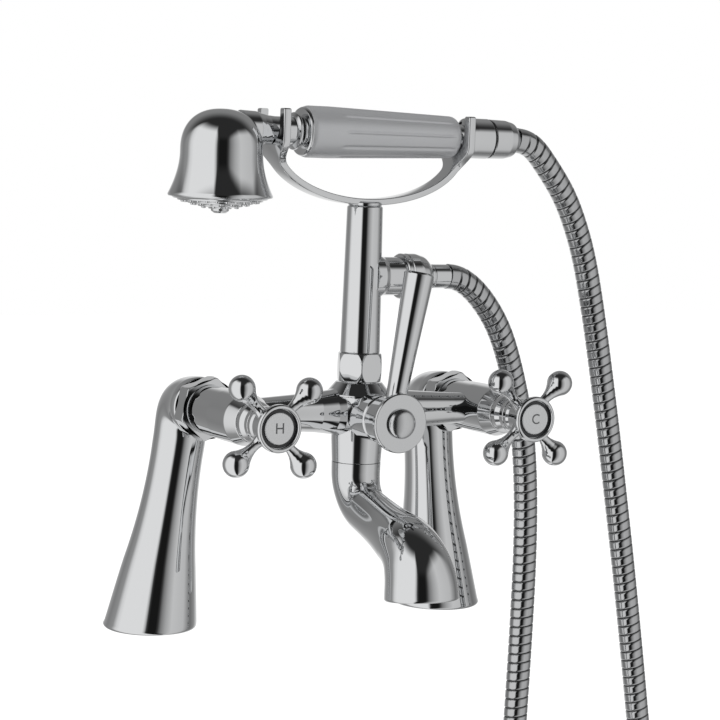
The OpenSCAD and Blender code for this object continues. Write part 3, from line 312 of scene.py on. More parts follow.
black_rubber = rubber("rubber_moulded_black", "#1B1B1C", 0.62)
red_fibre = rubber("vulcanised_fibre_pressed", "#6E3322", 0.8)


def dress(material, *nodes):
    for node in nodes:
        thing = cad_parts[node]
        if not thing.material_slots:
            thing.data.materials.append(material)
        for holder in thing.material_slots:
            holder.link = 'OBJECT'
            holder.material = material


dress(black_rubber, "foot_gaskets")


# Union nuts
# Hexagon brass nuts that draw each leg up to its valve, faced and chamfered at both ends.
# The fibre washers that they squeeze lie out of sight inside.
def hexagon(bm, place, flats, height, bore_r, turn, end_r, sides=288, rows=44):
    corner_r = flats / math.sqrt(3) + 0.1
    rim = 0.5
    blend = 0.08
    face_r = end_r - 1.2
    rings = [hoop(place, r, sides, z)
             for r, z in ((face_r, height), (bore_r, height), (bore_r, 0), (face_r, 0))]
    for row in range(rows + 1):
        z = height * (0.5 - 0.5 * math.cos(math.pi * row / rows))
        turned_r = end_r + (corner_r - end_r) * (1 - (2 * z / height - 1) ** 2)
        near = min(z, height - z)
        edge = rim - math.sqrt(max(0, rim * rim - (rim - near) ** 2)) if near < rim else 0
        points = []
        for k in range(sides):
            a = 2 * math.pi * k / sides
            from_flat = (math.degrees(a) - turn) % 60 - 30
            r_hex = flats / 2 / math.cos(math.radians(from_flat))
            gap = (r_hex - turned_r) / blend
            soft = blend * math.log(1 + math.exp(-abs(gap)))
            r = min(r_hex, turned_r) - soft - edge
            points.append(place @ Vector((r * math.cos(a), r * math.sin(a), z)))
        rings.append(points)
    skin(bm, rings, loop=True)


def valve_place(side, t=0):
    return along((side * VALVE_X, -t, VALVE_Z), (0, -1, 0), (1, 0, 0))


union_nut_from = 27
for side, name in ((-1, "hot_union_nut"), (1, "cold_union_nut")):
    bm = bmesh.new()
    hexagon(bm, valve_place(side, union_nut_from), 29.8, 10, 9.0, 18.7, 16.7)
    piece(name + "_chrome", bm, chrome_plate, "mixer", [name], crease=50)
dress(red_fibre, "union_washers", "riser_washer")


# Mixer body
# One hollow brass casting: a swelling barrel for each valve, a tapering arm from each to the middle,
# and the centre body over the spout. Filed, polished and chromed, its joins left softly rounded.
DIVERTER_Z = 120


# An outline of (radius, height, rounding) with its corners rounded and its faces held flat at their ends
def rounded(outline):
    points = []
    for k, entry in enumerate(outline):
        here = Vector(entry[:2])
        radius = entry[2] if len(entry) > 2 else 0
        if not radius or k == 0 or k == len(outline) - 1:
            points.append(here)
            continue
        before = Vector(outline[k - 1][:2]) - here
        after = Vector(outline[k + 1][:2]) - here
        half = before.angle(after) / 2
        reach = min(radius / math.tan(half), before.length * 0.48, after.length * 0.48)
        radius = reach * math.tan(half)
        middle = here + (before.normalized() + after.normalized()).normalized() * (radius / math.sin(half))
        first = here + before.normalized() * reach - middle
        last = here + after.normalized() * reach - middle
        sweep = first.angle_signed(last)
        steps = max(3, int(abs(math.degrees(sweep)) / 9))
        for j in range(steps + 1):
            a = -sweep * j / steps
            c, s = math.cos(a), math.sin(a)
            points.append(middle + Vector((first.x * c - first.y * s, first.x * s + first.y * c)))
    held = [points[0]]
    for a, b in zip(points, points[1:]):
        run = (b - a).length
        if run > 1.2:
            held.append(a + (b - a) * (0.2 / run))
            held.append(b - (b - a) * (0.2 / run))
        if run > 1e-6:
            held.append(b)
    return held


def lathe(bm, outline, place, sides=96):
    rows = []
    for r, z in rounded(outline):
        points = hoop(place, r, sides, z) if r >= 1e-5 else [place @ Vector((0, 0, z))]
        rows.append([bm.verts.new(p * MM) for p in points])
    pairs = list(zip(rows, rows[1:]))
    if len(rows[0]) > 1 and len(rows[-1]) > 1:
        pairs.append((rows[-1], rows[0]))
    for low, high in pairs:
        for k in range(sides):
            n = (k + 1) % sides
            corners = (low[k % len(low)], low[n % len(low)], high[n % len(high)], high[k % len(high)])
            corners = list(dict.fromkeys(corners))
            if len(corners) > 2:
                bm.faces.new(corners)


bm = bmesh.new()
for side in (-1, 1):
    lathe(bm, [(6.5, 33), (10.9, 33), (11, 37.4), (13.0, 37.5, 0.6), (13.35, 60, 30), (13.3, 79.6, 3),
               (10.6, 88, 0.6), (9.05, 88), (9.05, 52), (6.5, 52)], valve_place(side))
    arm = along((0, -REACH, VALVE_Z), (side, 0, 0), (0, 0, 1))
    lathe(bm, [(0, 6), (12.9, 6), (12.6, 13, 1), (11.7, 17, 4), (10.5, 26), (8.55, 56), (8.2, 65.5),
               (0, 66)], arm)
centre = along((0, -REACH, 0), (0, 0, 1), (1, 0, 0))
lathe(bm, [(6.2, 94.4), (12.95, 94.4, 0.4), (13.6, 106, 30), (13.8, 123, 6), (17.7, 130.2, 1.4),
           (12.2, 136.9, 0.6), (9.0, 136.9), (9.0, 142), (6.2, 142)], centre)
diverter = along((0, 0, DIVERTER_Z), (0, -1, 0), (1, 0, 0))
lathe(bm, [(8.2, 64), (13.4, 64), (11.5, 72.6, 2), (11.5, 74), (8.2, 74)], diverter)
piece("mixer_body_chrome", bm, chrome_plate, "mixer", ["mixer_body"])


# Valve cartridges
# Ceramic-disc cartridges of turned brass, pressed up to the seat by the collar in front of them.
# Brass is left as turned, with fine tool marks all over; the discs are lapped white ceramic.
def turned_brass(name, colour):
    material, tree = new_material(name)
    marks = grain(tree, 0.35, Detail=2)
    rough = mapped(tree, marks, to=(0.24, 0.42))
    surfaced(tree, {"Base Color": rgb(colour), "Metallic": 1.0, "Roughness": rough,
                    "Normal": bumped(tree, marks, 0.2, 0.03)})
    return material


brass = turned_brass("brass_turned", "#C9A24B")
steel = turned_brass("steel_screw_zinc_plated", "#B4B6B8")
lapped_ceramic = rubber("alumina_ceramic_lapped", "#EFEDE6", 0.22)
dress(brass, "hot_valve_insert", "cold_valve_insert", "hot_spindle", "cold_spindle", "diverter_spindle",
      "diverter_shuttle", "handset_tube")
dress(lapped_ceramic, "hot_fixed_disc", "cold_fixed_disc", "hot_moving_disc", "cold_moving_disc")
dress(black_rubber, "valve_seat_seals", "hot_spindle_seal", "cold_spindle_seal")
dress(steel, "hot_handle_screw", "cold_handle_screw", "diverter_screw", "cradle_screw")


# Valve collars
# Short turned rings that cover each cartridge's flange between barrel and handle.
# Brass, stepped down towards the handle, polished and chromed.
def turned(name, outline, place, body, nodes, material=chrome_plate, sides=96):
    bm = bmesh.new()
    lathe(bm, outline, place, sides)
    return piece(name, bm, material, body, nodes)


for side, name in ((-1, "hot_valve_collar"), (1, "cold_valve_collar")):
    turned(name + "_chrome",
           [(6.4, 88), (10.2, 88, 0.2), (10.3, 88.5, 0.2), (10.3, 91.4, 0.5), (9.0, 94.4, 0.6),
            (9.0, 97.2, 0.2), (8.8, 97.4), (6.4, 97.4)], valve_place(side), "mixer", [name])


# Cross handles
# A turned hub with a cupped front ring and four slim arms, each with a ball at its end.
# Cast brass, polished on the wheel and chromed; held by a screw under the index disc.
def new_group(name, rows):
    tree = bpy.data.node_groups.new(name, 'GeometryNodeTree')
    sockets = []
    for label, kind, value in rows:
        socket = tree.interface.new_socket(label, in_out='INPUT', socket_type="NodeSocket" + kind)
        sockets.append((socket, value))
    tree.interface.new_socket("Geometry", in_out='OUTPUT', socket_type='NodeSocketGeometry')
    return tree, sockets, add(tree, "NodeGroupInput").outputs


def maths(tree, operation, *values):
    return add(tree, "ShaderNodeMath", dict(enumerate(values)), operation=operation).outputs[0]


# Ends a tree: real geometry in one material
def delivered(tree, geometry, material):
    real = add(tree, "GeometryNodeRealizeInstances", {"Geometry": geometry})
    finish = add(tree, "GeometryNodeSetMaterial",
                 {"Geometry": real.outputs["Geometry"], "Material": material})
    add(tree, "NodeGroupOutput", {"Geometry": finish.outputs["Geometry"]})


def evaluated(thing):
    depsgraph = bpy.context.evaluated_depsgraph_get()
    return bpy.data.meshes.new_from_object(thing.evaluated_get(depsgraph))


# Runs a tree on a bare object and hands back its plain mesh
def grown(name, tree, sockets):
    holder = linked(name + "_seed", bpy.data.meshes.new(name + "_seed"))
    modifier = holder.modifiers.new(name, 'NODES')
    modifier.node_group = tree
    for socket, value in sockets:
        modifier[socket.identifier] = value
    mesh = evaluated(holder)
    holder.modifiers.remove(modifier)
    bpy.data.objects.remove(holder)
    return mesh


def round_array(name, source, count, radius, turn, place, material):
    tree, sockets, given = new_group(name, (
        ("Count", "Int", count), ("Radius", "Float", radius), ("Turn", "Float", turn),
        ("Piece", "Object", source), ("Finish", "Material", material)))
    row = add(tree, "GeometryNodeMeshLine", {"Count": given["Count"], "Offset": (0, 0, 0)}, mode='OFFSET')
    index = add(tree, "GeometryNodeInputIndex")
    share = maths(tree, 'DIVIDE', index.outputs[0], given["Count"])
    angle = maths(tree, 'MULTIPLY_ADD', share, 2 * math.pi, given["Turn"])
    spin = add(tree, "ShaderNodeCombineXYZ", {"Z": angle})
    reach = add(tree, "ShaderNodeCombineXYZ", {"X": given["Radius"]})
    spot = add(tree, "ShaderNodeVectorRotate", {"Vector": reach.outputs[0], "Angle": angle},
               rotation_type='Z_AXIS')
    moved = add(tree, "GeometryNodeSetPosition",
                {"Geometry": row.outputs["Mesh"], "Position": spot.outputs[0]})
    shape = add(tree, "GeometryNodeObjectInfo", {"Object": given["Piece"]})
    copies = add(tree, "GeometryNodeInstanceOnPoints",
                 {"Points": moved.outputs["Geometry"], "Instance": shape.outputs["Geometry"],
                  "Rotation": spin.outputs[0]})
    delivered(tree, copies.outputs["Instances"], given["Finish"])
    mesh = grown(name, tree, sockets)
    mesh.transform(place)
    return mesh


def seed_object(name, bm):
    bmesh.ops.recalc_face_normals(bm, faces=bm.faces)
    return linked(name, mesh_of(name, bm))


def in_metres(place):
    scaled = place.copy()
    scaled.translation = place.translation * MM
    return scaled


ball_at = 26.4
ball_r = 6.7
arms_at = 108.2
bm = bmesh.new()
ball = [(ball_r * math.cos(math.radians(a)), ball_at + ball_r * math.sin(math.radians(a)))
        for a in range(-40, 90, 4)]
neck = [(0, 5), (4.2, 5), (3.2, 9.4, 2), (2.5, 12.6, 6), (2.6, 15.6, 8), (3.2, 18.2, 5), (4.2, 20.5, 3)]
lathe(bm, neck + ball + [(0, ball_at + ball_r)], along((0, 0, 0), (1, 0, 0), (0, 1, 0)), 48)
arm_seed = seed_object("handle_arm_seed", bm)

for side, name, lean in ((-1, "hot", 3.2), (1, "cold", 2.2)):
    arms = round_array(name + "_arms", arm_seed, 4, 0.0, math.radians(45 - lean),
                       in_metres(valve_place(side, arms_at)), chrome_plate)
    bm = bmesh.new()
    bm.from_mesh(arms)
    lathe(bm, [(3.66, 97.8), (8.9, 97.8, 0.2), (9.1, 98.2, 0.2), (9.1, 100.4, 0.6), (8.4, 102.2, 1.0),
               (8.2, 110.6, 1.0), (9.4, 112.2, 0.6), (11.6, 112.7, 0.4), (12.05, 113.4, 0.5),
               (12.05, 115.4, 0.7), (11.3, 116.2, 0.7), (10.3, 116.2, 0.5), (9.9, 115.6, 0.4),
               (9.9, 113.6), (3.66, 113.6)], valve_place(side))
    piece(name + "_cross_handle_chrome", bm, chrome_plate, name + "_handle", [name + "_cross_handle"])
bpy.data.objects.remove(arm_seed)


# Index discs
# Pressed discs in the cup of each handle, enamelled pale grey and lettered H and C in thin dark paint.
# Each sits on a charcoal seat, painted shade that makes the groove round it show as a dark line.
def enamel(name, colour, roughness):
    material, tree = new_material(name)
    flow = bumped(tree, grain(tree, 2.5, Detail=2), 0.08, 0.1)
    surfaced(tree, {"Base Color": rgb(colour), "Roughness": roughness, "Coat Weight": 0.4,
                    "Coat Roughness": 0.08, "Normal": flow})
    return material


pale_enamel = enamel("enamel_fired_pale_grey", "#C9CACB", 0.25)
letter_paint = enamel("enamel_paint_dark_grey", "#4A4B4D", 0.4)
# Painted shade: a charcoal seat under each disc that darkens the groove round it
groove_shade_paint = enamel("charcoal_painted_groove_shade", "#2E2F31", 0.5)
letter_at = 115.68
letter_h = 7.5
paint_t = 0.03


def letter(name, text, place, material, body):
    curve = bpy.data.curves.new(name, 'FONT')
    curve.body = text
    curve.size = letter_h * MM
    curve.align_x = 'CENTER'
    curve.align_y = 'CENTER'
    curve.extrude = paint_t * MM
    holder = linked(name + "_text", curve)
    mesh = evaluated(holder)
    bpy.data.objects.remove(holder)
    mesh.transform(place)
    mesh.materials.clear()
    mesh.materials.append(material)
    thing = linked(name, mesh)
    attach(thing, body)


for side, name, text in ((-1, "hot", "H"), (1, "cold", "C")):
    body = name + "_handle"
    turned(name + "_index_disc_enamel",
           [(0, 114.6), (7.8, 114.6), (7.95, 114.9, 0.1), (7.6, 115.5, 0.3), (4, 115.62), (0, 115.66)],
           valve_place(side), body, [name + "_index_disc"], pale_enamel)
    # The charcoal seat is painted shade for the groove round the disc
    turned(name + "_index_seat",
           [(0, 113.65), (9.75, 113.65), (9.75, 113.95), (7.9, 114.0, 0.2), (7.9, 114.6), (0, 114.6)],
           valve_place(side), body, (), groove_shade_paint)
    letter(name + "_index_letter", text, in_metres(valve_place(side, letter_at)), letter_paint, body)


# Diverter
# A barrel screwed into the front of the body, a hub that turns on it, a tapered lever in the hub,
# and a flat disc with a dome over the screw. All turned brass, polished and chromed.
turned("diverter_barrel_chrome",
       [(4.06, 72), (12.3, 72), (12.3, 86.2, 0.3), (11.6, 86.8, 0.2), (11.6, 87.2, 0.2), (12.1, 88, 0.3),
        (4.06, 88)], diverter, "mixer", ["diverter_barrel"])
turned("diverter_hub_chrome",
       [(3.63, 88.4), (12.0, 88.4, 0.2), (12.3, 88.8, 0.3), (12.3, 99.8, 1.4), (13.4, 101.4),
        (3.63, 101.4)], diverter, "diverter", ["diverter_hub"])

lever_lean = math.radians(9.9)
lever_at = 95
lever = along((0, -lever_at, DIVERTER_Z), (math.sin(lever_lean), 0, math.cos(lever_lean)), (0, 1, 0))
turned("diverter_lever_chrome",
       [(0, 5), (2.6, 5), (2.6, 10.6), (5.3, 10.6), (5.3, 13), (7.88, 76.8, 0.7), (7.2, 78, 0.5), (0, 78)],
       lever, "diverter", ["diverter_lever"])

# The disc's face is polished less than the rest, and the dome less again, so both mirror softly
satin_chrome = chromed("chrome_plate_satin_face", "#D2D3D4", 0.1)
dull_chrome = chromed("chrome_plate_satin_dome", "#CFD0D1", 0.2)
turned("diverter_disc_chrome",
       [(3.3, 101.4), (14.9, 101.4, 0.3), (15.35, 101.9, 0.4), (15.35, 104.0, 0.5), (14.8, 104.6, 0.5),
        (3.3, 104.6)], diverter, "diverter", ["diverter_disc"], satin_chrome)

dome_r = 7.8
dome_h = 3.8
dome_foot = 104.6
dome_from = dome_foot + 1.0
dome = [(dome_r * math.cos(math.radians(a)), dome_from + dome_h * math.sin(math.radians(a)))
        for a in range(0, 90, 6)]
turned("diverter_dome_chrome", [(0, dome_foot), (dome_r, dome_foot)] + dome + [(0, dome_from + dome_h)],
       diverter, "diverter", ["diverter_dome"], dull_chrome)
dress(black_rubber, "diverter_seal", "shuttle_washers")


# Spout
# A hollow cast spout that drops from the body, runs forward and falls again to a wide open mouth.
# Polished and chromed outside; the inside, rough-cast on the real spout where the water runs, takes the
# same chrome here.
spout_top = 94.3
spout_drop = 4.8
upper_bend = 20.0
lower_bend = 26.0
spout_run = 38.4
slope_end = math.radians(15)
fall_end = math.radians(83)
spout_tip = 4.5
spout_lip = 1.3
spout_wall = 2.6
spout_bore_r = 6.2
spigot_r = 9.0
spigot_top = 98.8
girths = ((0, 26.1), (9, 25.6), (18, 24.5), (31, 24.0), (50, 25.4), (69, 29.8), (80, 32.4), (88, 35.0),
          (97, 37.2), (104.8, 38.1))
spout_steps = 240


def girth(s):
    for k in range(len(girths) - 1):
        (s0, d0), (s1, d1) = girths[k], girths[k + 1]
        if s <= s1 or k == len(girths) - 2:
            left = girths[max(0, k - 1)]
            right = girths[min(len(girths) - 1, k + 2)]
            m0 = (d1 - left[1]) / (s1 - left[0]) if k else (d1 - d0) / (s1 - s0)
            m1 = (right[1] - d0) / (right[0] - s0)
            h = s1 - s0
            f = min(1, max(0, (s - s0) / h))
            return ((2 * f ** 3 - 3 * f ** 2 + 1) * d0 + (f ** 3 - 2 * f ** 2 + f) * h * m0
                    + (3 * f ** 2 - 2 * f ** 3) * d1 + (f ** 3 - f ** 2) * h * m1)


def spout_path():
    upper_arc = upper_bend * (math.pi / 2 - slope_end)
    lower_arc = lower_bend * (fall_end - slope_end)
    length = spout_drop + upper_arc + spout_run + lower_arc + spout_tip
    point = Vector((0, -REACH, spout_top))
    stations = []
    step = length / spout_steps
    for k in range(spout_steps + 1):
        s = step * k
        if s < spout_drop:
            a = math.pi / 2
        elif s < spout_drop + upper_arc:
            a = math.pi / 2 - (s - spout_drop) / upper_bend
        elif s < spout_drop + upper_arc + spout_run:
            a = slope_end
        elif s < length - spout_tip:
            a = slope_end + (s - spout_drop - upper_arc - spout_run) / lower_bend
        else:
            a = fall_end
        heading = Vector((0, -math.cos(a), -math.sin(a)))
        stations.append((point.copy(), heading, girth(s) / 2))
        point += heading * step
    return stations


path = spout_path()
across = Vector((1, 0, 0))
down = Vector((0, 0, -1))
sides = 96
rings = [circle(c, h, across, r, sides) for c, h, r in path[:-3]]
tip_c, tip_h, tip_r = path[-1]
for k in range(9):
    a = math.pi * k / 8
    rings.append(circle(tip_c + tip_h * (spout_lip * math.sin(a) - spout_lip), tip_h, across,
                        tip_r - spout_lip + spout_lip * math.cos(a), sides))
for c, h, r in reversed(path[20:-6:4]):
    rings.append(circle(c, h, across, r - spout_wall, sides))
throat_c, throat_h = path[4][:2]
rings.append(circle(throat_c, throat_h, across, spout_bore_r, sides))
for r, z in ((spout_bore_r, spigot_top), (spigot_r, spigot_top), (spigot_r, spout_top + 0.05)):
    rings.append(circle(Vector((0, -REACH, z)), down, across, r, sides))
bm = bmesh.new()
skin(bm, rings, loop=True)
piece("spout_chrome", bm, chrome_plate, "mixer", ["spout"])
dress(black_rubber, "spout_seal")


# Riser
# A tapered brass pipe on a hexagon nut, closed at the top, with a short boss on the cold side
# for the hose. The nut is faced and chamfered; everything is polished and chromed.
RISER_TOP = 229.4
OUTLET_Z = 192.6
riser_nut_low = 137.2
bm = bmesh.new()
hexagon(bm, along((0, -REACH, riser_nut_low), (0, 0, 1), (1, 0, 0)), 22.2, 15.0, 7.8, 6.5, 11.5)
piece("riser_nut_chrome", bm, chrome_plate, "mixer", ["riser_nut"], crease=50)

bm = bmesh.new()
lathe(bm, [(6.5, 145), (7.4, 145), (7.4, 152.2), (10.2, 152.2, 0.3), (10.5, 152.8, 0.4),
           (9.4, RISER_TOP - 0.6, 0.5), (8.8, RISER_TOP), (0, RISER_TOP)], centre)
outlet = along((0, -REACH, OUTLET_Z), (1, 0, 0), (0, 0, 1))
lathe(bm, [(0, 4), (11.6, 4), (11.4, 8.6, 0.6), (10.1, 11.4, 2), (10.1, 21.6, 0.3), (9.7, 22), (9.4, 22),
           (9.4, 31), (5, 31), (5, 26), (0, 26)], outlet)
piece("riser_pipe_chrome", bm, chrome_plate, "mixer", ["riser_pipe"])


# Hose fittings
# A round coupling nut of turned brass on the outlet, and a thin drawn ferrule crimped on the hose's end.
# Both are polished and chromed, with a fine groove round each.
turned("outlet_nut_chrome",
       [(9.45, 22), (11.4, 22, 0.3), (12, 22.7, 0.4), (12, 24.4, 0.3), (11.5, 24.9, 0.2), (11.5, 25.4, 0.2),
        (12, 25.9, 0.3), (12.0, 31.0, 6), (10.6, 36.0, 5), (7.4, 39.6, 0.4), (6.45, 39.6), (6.45, 34.6),
        (9.45, 34.6)], outlet, "mixer", ["outlet_nut"])
outlet_ferrule = turned(
    "outlet_ferrule_chrome",
    [(5.6, 34), (6.35, 34), (6.35, 41.2, 0.2), (6.2, 41.6, 0.2), (6.2, 42, 0.2), (6.35, 42.4, 0.2),
     (6.35, 51.3, 0.4), (6.0, 52, 0.2), (5.6, 52)], outlet, "mixer", ["outlet_ferrule"], sides=64)
dress(black_rubber, "outlet_washer")


# Cradle
# A bowed brass strap screwed on top of the riser, widened and slotted at each end into a fork
# that carries the handset by its two necks. Cast, filed flat, polished and chromed.
HAND_Z = 266.8
fork_x = 55.1
prong_t = 4.2
strap_t = 3.4
strap_w = 11.0
strap_bow = 28.0
strap_edge = 0.7
spring_z = RISER_TOP + strap_t / 2 + strap_bow + 0.4
fork_top = 278.0
prong_out = 15.35
slot_w = 21.3
neck_d = 14.3
slot_floor = HAND_Z - neck_d / 2 - 0.3
widen_from = slot_floor - 11
widen_to = slot_floor + 2


def strap_station(u):
    if u < 0 or u > 1:
        over = -u if u < 0 else u - 1
        side = -1 if u < 0 else 1
        return Vector((side * fork_x, 0, spring_z + over)), Vector((side, 0, 0)), prong_t / 2
    a = math.pi * (1 + u)
    out, inn = (Vector(((fork_x + way * prong_t / 2) * math.cos(a), 0,
                        spring_z + (strap_bow + way * strap_t / 2) * math.sin(a))) for way in (1, -1))
    return (out + inn) / 2, (out - inn).normalized(), (out - inn).length / 2


def strap_half_width(z):
    share = eased((z - widen_from) / (widen_to - widen_from))
    return strap_w / 2 + (prong_out - strap_w / 2) * share


def strap_ring(u, shrink=0):
    middle, normal, half = strap_station(u)
    half_w = strap_half_width(middle.z) - shrink
    half -= shrink
    edge = min(strap_edge, half * 0.6)
    points = []
    for sx, sy, start in ((1, 1, 0), (-1, 1, 90), (-1, -1, 180), (1, -1, 270)):
        for k in range(5):
            a = math.radians(start + 90 * k / 4)
            n = sx * (half - edge) + edge * math.cos(a)
            y = sy * (half_w - edge) + edge * math.sin(a)
            points.append(middle + normal * n + Vector((0, y - REACH, 0)))
    return points


rise = fork_top - spring_z
prong = [(rise - strap_edge) * k / 8 for k in range(1, 9)] + [rise - 0.25, rise]
marks = [-d for d in reversed(prong)] + [k / 120 for k in range(121)] + [1 + d for d in prong]
shrinks = {0: 0.6, 1: 0.2}
rings = []
for k, u in enumerate(marks):
    from_end = min(k, len(marks) - 1 - k)
    rings.append(strap_ring(u, shrinks.get(from_end, 0)))
bm = bmesh.new()
skin(bm, rings)
lathe(bm, [(0, RISER_TOP), (8.4, RISER_TOP), (8.9, RISER_TOP + 0.5, 0.3), (8.9, RISER_TOP + 1.6, 0.4),
           (8.0, RISER_TOP + 2.4), (0, RISER_TOP + 2.4)], centre)
strap = seed_object("cradle_strap_seed", bm)

bm = bmesh.new()
slot_r = slot_w / 2
slot_mid = slot_floor + slot_r
cut_h = 30
cut_x = 70
outline = [Vector((0, slot_r * math.cos(math.radians(a)), slot_r * math.sin(math.radians(a))))
           for a in range(180, 361, 5)]
outline += [Vector((0, slot_r, cut_h)), Vector((0, -slot_r, cut_h))]
skin(bm, [[p + Vector((x, -REACH, slot_mid)) for p in outline] for x in (-cut_x, cut_x)])
cutter = seed_object("cradle_slot_seed", bm)
cut = strap.modifiers.new("fork_slots", 'BOOLEAN')
cut.operation = 'DIFFERENCE'
cut.solver = 'EXACT'
cut.object = cutter
cradle_mesh = evaluated(strap)
strap.modifiers.remove(cut)
bpy.data.objects.remove(strap)
bpy.data.objects.remove(cutter)
bm = bmesh.new()
bm.from_mesh(cradle_mesh)
piece("cradle_chrome", bm, chrome_plate, "mixer", ["cradle"])


# Handset head
# A spun bell with a rolled lip, brazed to a short turned arm that narrows to the neck in the fork.
# Brass, polished and chromed; hollow, with the spray plate closing its mouth.
BELL_X = -84.2
RIM_Z = HAND_Z - 34.6
flare_h = 22.3
flare_power = 1.85
shoulder_z = RIM_Z + 23.5
crown_power = 2 / 2.3
lip_t = 1.2
bell = along((BELL_X, -REACH, 0), (0, 0, 1), (1, 0, 0))
hand = along((0, -REACH, HAND_Z), (1, 0, 0), (0, 0, 1))


def bell_side(rim_r, wall_r, crown):
    steps = 24
    flare = [(wall_r + (rim_r - wall_r) * (1 - k / steps) ** flare_power,
              RIM_Z + lip_t + (flare_h - lip_t) * k / steps) for k in range(steps + 1)]
    top = [(wall_r * math.cos(math.radians(a)) ** crown_power,
            shoulder_z + (crown - shoulder_z) * math.sin(math.radians(a)) ** crown_power)
           for a in range(2, 90, 2)]
    return flare + top + [(0, crown)]


bm = bmesh.new()
shell = [(24.8, RIM_Z + 0.3), (25.6, RIM_Z), (26.2, RIM_Z + 0.1), (26.55, RIM_Z + 0.5), (26.6, RIM_Z + 0.9)]
shell += bell_side(26.6, 20.9, RIM_Z + 44.4)
lining = list(reversed(bell_side(24.8, 19.0, RIM_Z + 42.4)))
lathe(bm, lining + shell, bell, 128)
lathe(bm, [(0, BELL_X + 10), (9.6, BELL_X + 10), (9.3, -66, 4), (8.4, -63), (7.5, -59, 3), (7.15, -55),
           (7.15, -45), (5.3, -45), (5.3, -55), (0, -55)], hand)
piece("handset_head_chrome", bm, chrome_plate, "handset", ["handset_head"])


# Spray plate
# A turned plate in shallow steps that closes the bell, pierced in three rings and held by a round nub.
# Each hole has a short pressed nozzle so that the water leaves in a straight thread.
plate_r = 24.5
bm = bmesh.new()
steps = [(0, 1.0), (plate_r, 1.0), (plate_r, -0.2, 0.2), (23.6, -1.0, 0.3), (22.0, -1.0, 0.3),
         (21.6, -1.9, 0.3), (16.8, -2.5, 0.3), (16.4, -3.3, 0.3), (11.6, -3.9, 0.3), (11.2, -4.7, 0.3),
         (6.2, -5.3, 0.3), (5.8, -5.9, 0.3), (0, -5.9)]
rim = along((BELL_X, -REACH, RIM_Z), (0, 0, 1), (1, 0, 0))
lathe(bm, steps, rim)
nozzle_bm = bmesh.new()
lathe(nozzle_bm, [(0.55, 0.8), (1.15, 0.8), (1.0, -0.5, 0.1), (0.75, -0.7, 0.1), (0.55, -0.6), (0.5, 0.3)],
      along((0, 0, 0), (0, 0, 1), (1, 0, 0)), 16)
nozzle_seed = seed_object("spray_nozzle_seed", nozzle_bm)
for count, radius, z in ((8, 9, RIM_Z - 5.0), (16, 14, RIM_Z - 3.6), (24, 19, RIM_Z - 2.2)):
    ring_place = in_metres(along((BELL_X, -REACH, z), (0, 0, 1), (1, 0, 0)))
    bm.from_mesh(round_array("spray_nozzles_%d" % count, nozzle_seed, count, radius * MM, 0.0, ring_place,
                             chrome_plate))
bpy.data.objects.remove(nozzle_seed)
piece("spray_plate_chrome", bm, chrome_plate, "handset", ["spray_plate"])
turned("spray_nub_chrome", [(0, -8.1), (3.0, -8.1, 1.2), (4.6, -6.9, 0.6), (4.6, -5.9), (0, -5.9)],
       rim, "handset", ["spray_screw"], sides=64)
dress(black_rubber, "head_seal")


# Handset collar, grip and tail
# A turned collar and tail clamp the grip between them on the water tube, and the hose's nut ends the tail.
# The grip is a drawn sleeve with narrow grooves along it, lacquered in a satin silver grey.
tube_r = 5.25
grip_from = -38.2
grip_to = 52.6
grip_front_r = 13.35
grip_roll = 2.6
grip_roll_in = 0.8
grip_taper = 2.15
grip_end_r = 8.0
flute_from = -22.0
taper_from = flute_from - 2
flute_to = 48.5
flutes = 10
flute_turn = math.radians(200)
flute_depth = 0.6
flute_run = 6
turned("front_collar_chrome",
       [(tube_r, -45), (7.45, -45, 0.2), (8.3, -44.7, 0.4), (9.6, -44.1, 0.5), (9.7, -43.0, 0.5),
        (7.8, -42.2, 0.6), (7.8, -40.2, 0.5), (12.0, -39.7, 0.4), (12.5, -39.0, 0.4), (12.6, grip_from),
        (tube_r, grip_from)], hand, "handset", ["front_collar"])


# Silver lacquer sprayed over the sleeve: fine flakes in it glint a little, the rest scatters soft and grey.
def lacquered(name, colour):
    material, tree = new_material(name)
    flakes = grain(tree, 0.4, Detail=2)
    rough = mapped(tree, grain(tree, 25, Detail=3), to=(0.34, 0.44))
    glint = mapped(tree, flakes, (0.4, 0.7), (0.4, 0.6))
    surfaced(tree, {"Base Color": rgb(colour), "Metallic": glint, "Roughness": rough,
                    "Normal": bumped(tree, flakes, 0.1, 0.04)})
    return material


grip_coat = lacquered("lacquer_sprayed_satin_silver", "#C3C4C6")


def grip_radius(x):
    if x < grip_from + grip_roll:
        left = (grip_from + grip_roll - x) / grip_roll
        return grip_front_r - grip_roll_in * left * left
    if x < taper_from:
        return grip_front_r
    if x < flute_to:
        return grip_front_r - grip_taper * (x - taper_from) / (flute_to - taper_from)
    share = (x - flute_to) / (grip_to - flute_to)
    return grip_end_r + (grip_front_r - grip_taper - grip_end_r) * math.sqrt(max(0, 1 - share ** 2.2))


stations = [grip_from + (flute_to - grip_from) * k / 90 for k in range(91)]
stations += [flute_to + (grip_to - flute_to) * math.sin(math.pi / 2 * k / 16) for k in range(1, 17)]
sides = 360
rings = [hoop(hand, tube_r, sides, grip_from)]
for x in stations:
    into = min(1, max(0, (x - flute_from) / flute_run))
    out_of = min(1, max(0, (flute_to + 2 - x) / flute_run))
    fade = eased(into * out_of)
    ring = []
    for k in range(sides):
        a = 2 * math.pi * k / sides
        wave = (0.5 + 0.5 * math.cos(flutes * a + flute_turn)) ** 9
        r = grip_radius(x) - flute_depth * fade * wave
        ring.append(hand @ Vector((r * math.cos(a), r * math.sin(a), x)))
    rings.append(ring)
rings.append(hoop(hand, tube_r, sides, grip_to))
bm = bmesh.new()
skin(bm, rings, loop=True)
piece("handset_grip_satin", bm, grip_coat, "handset", ["handset_grip"], 60)

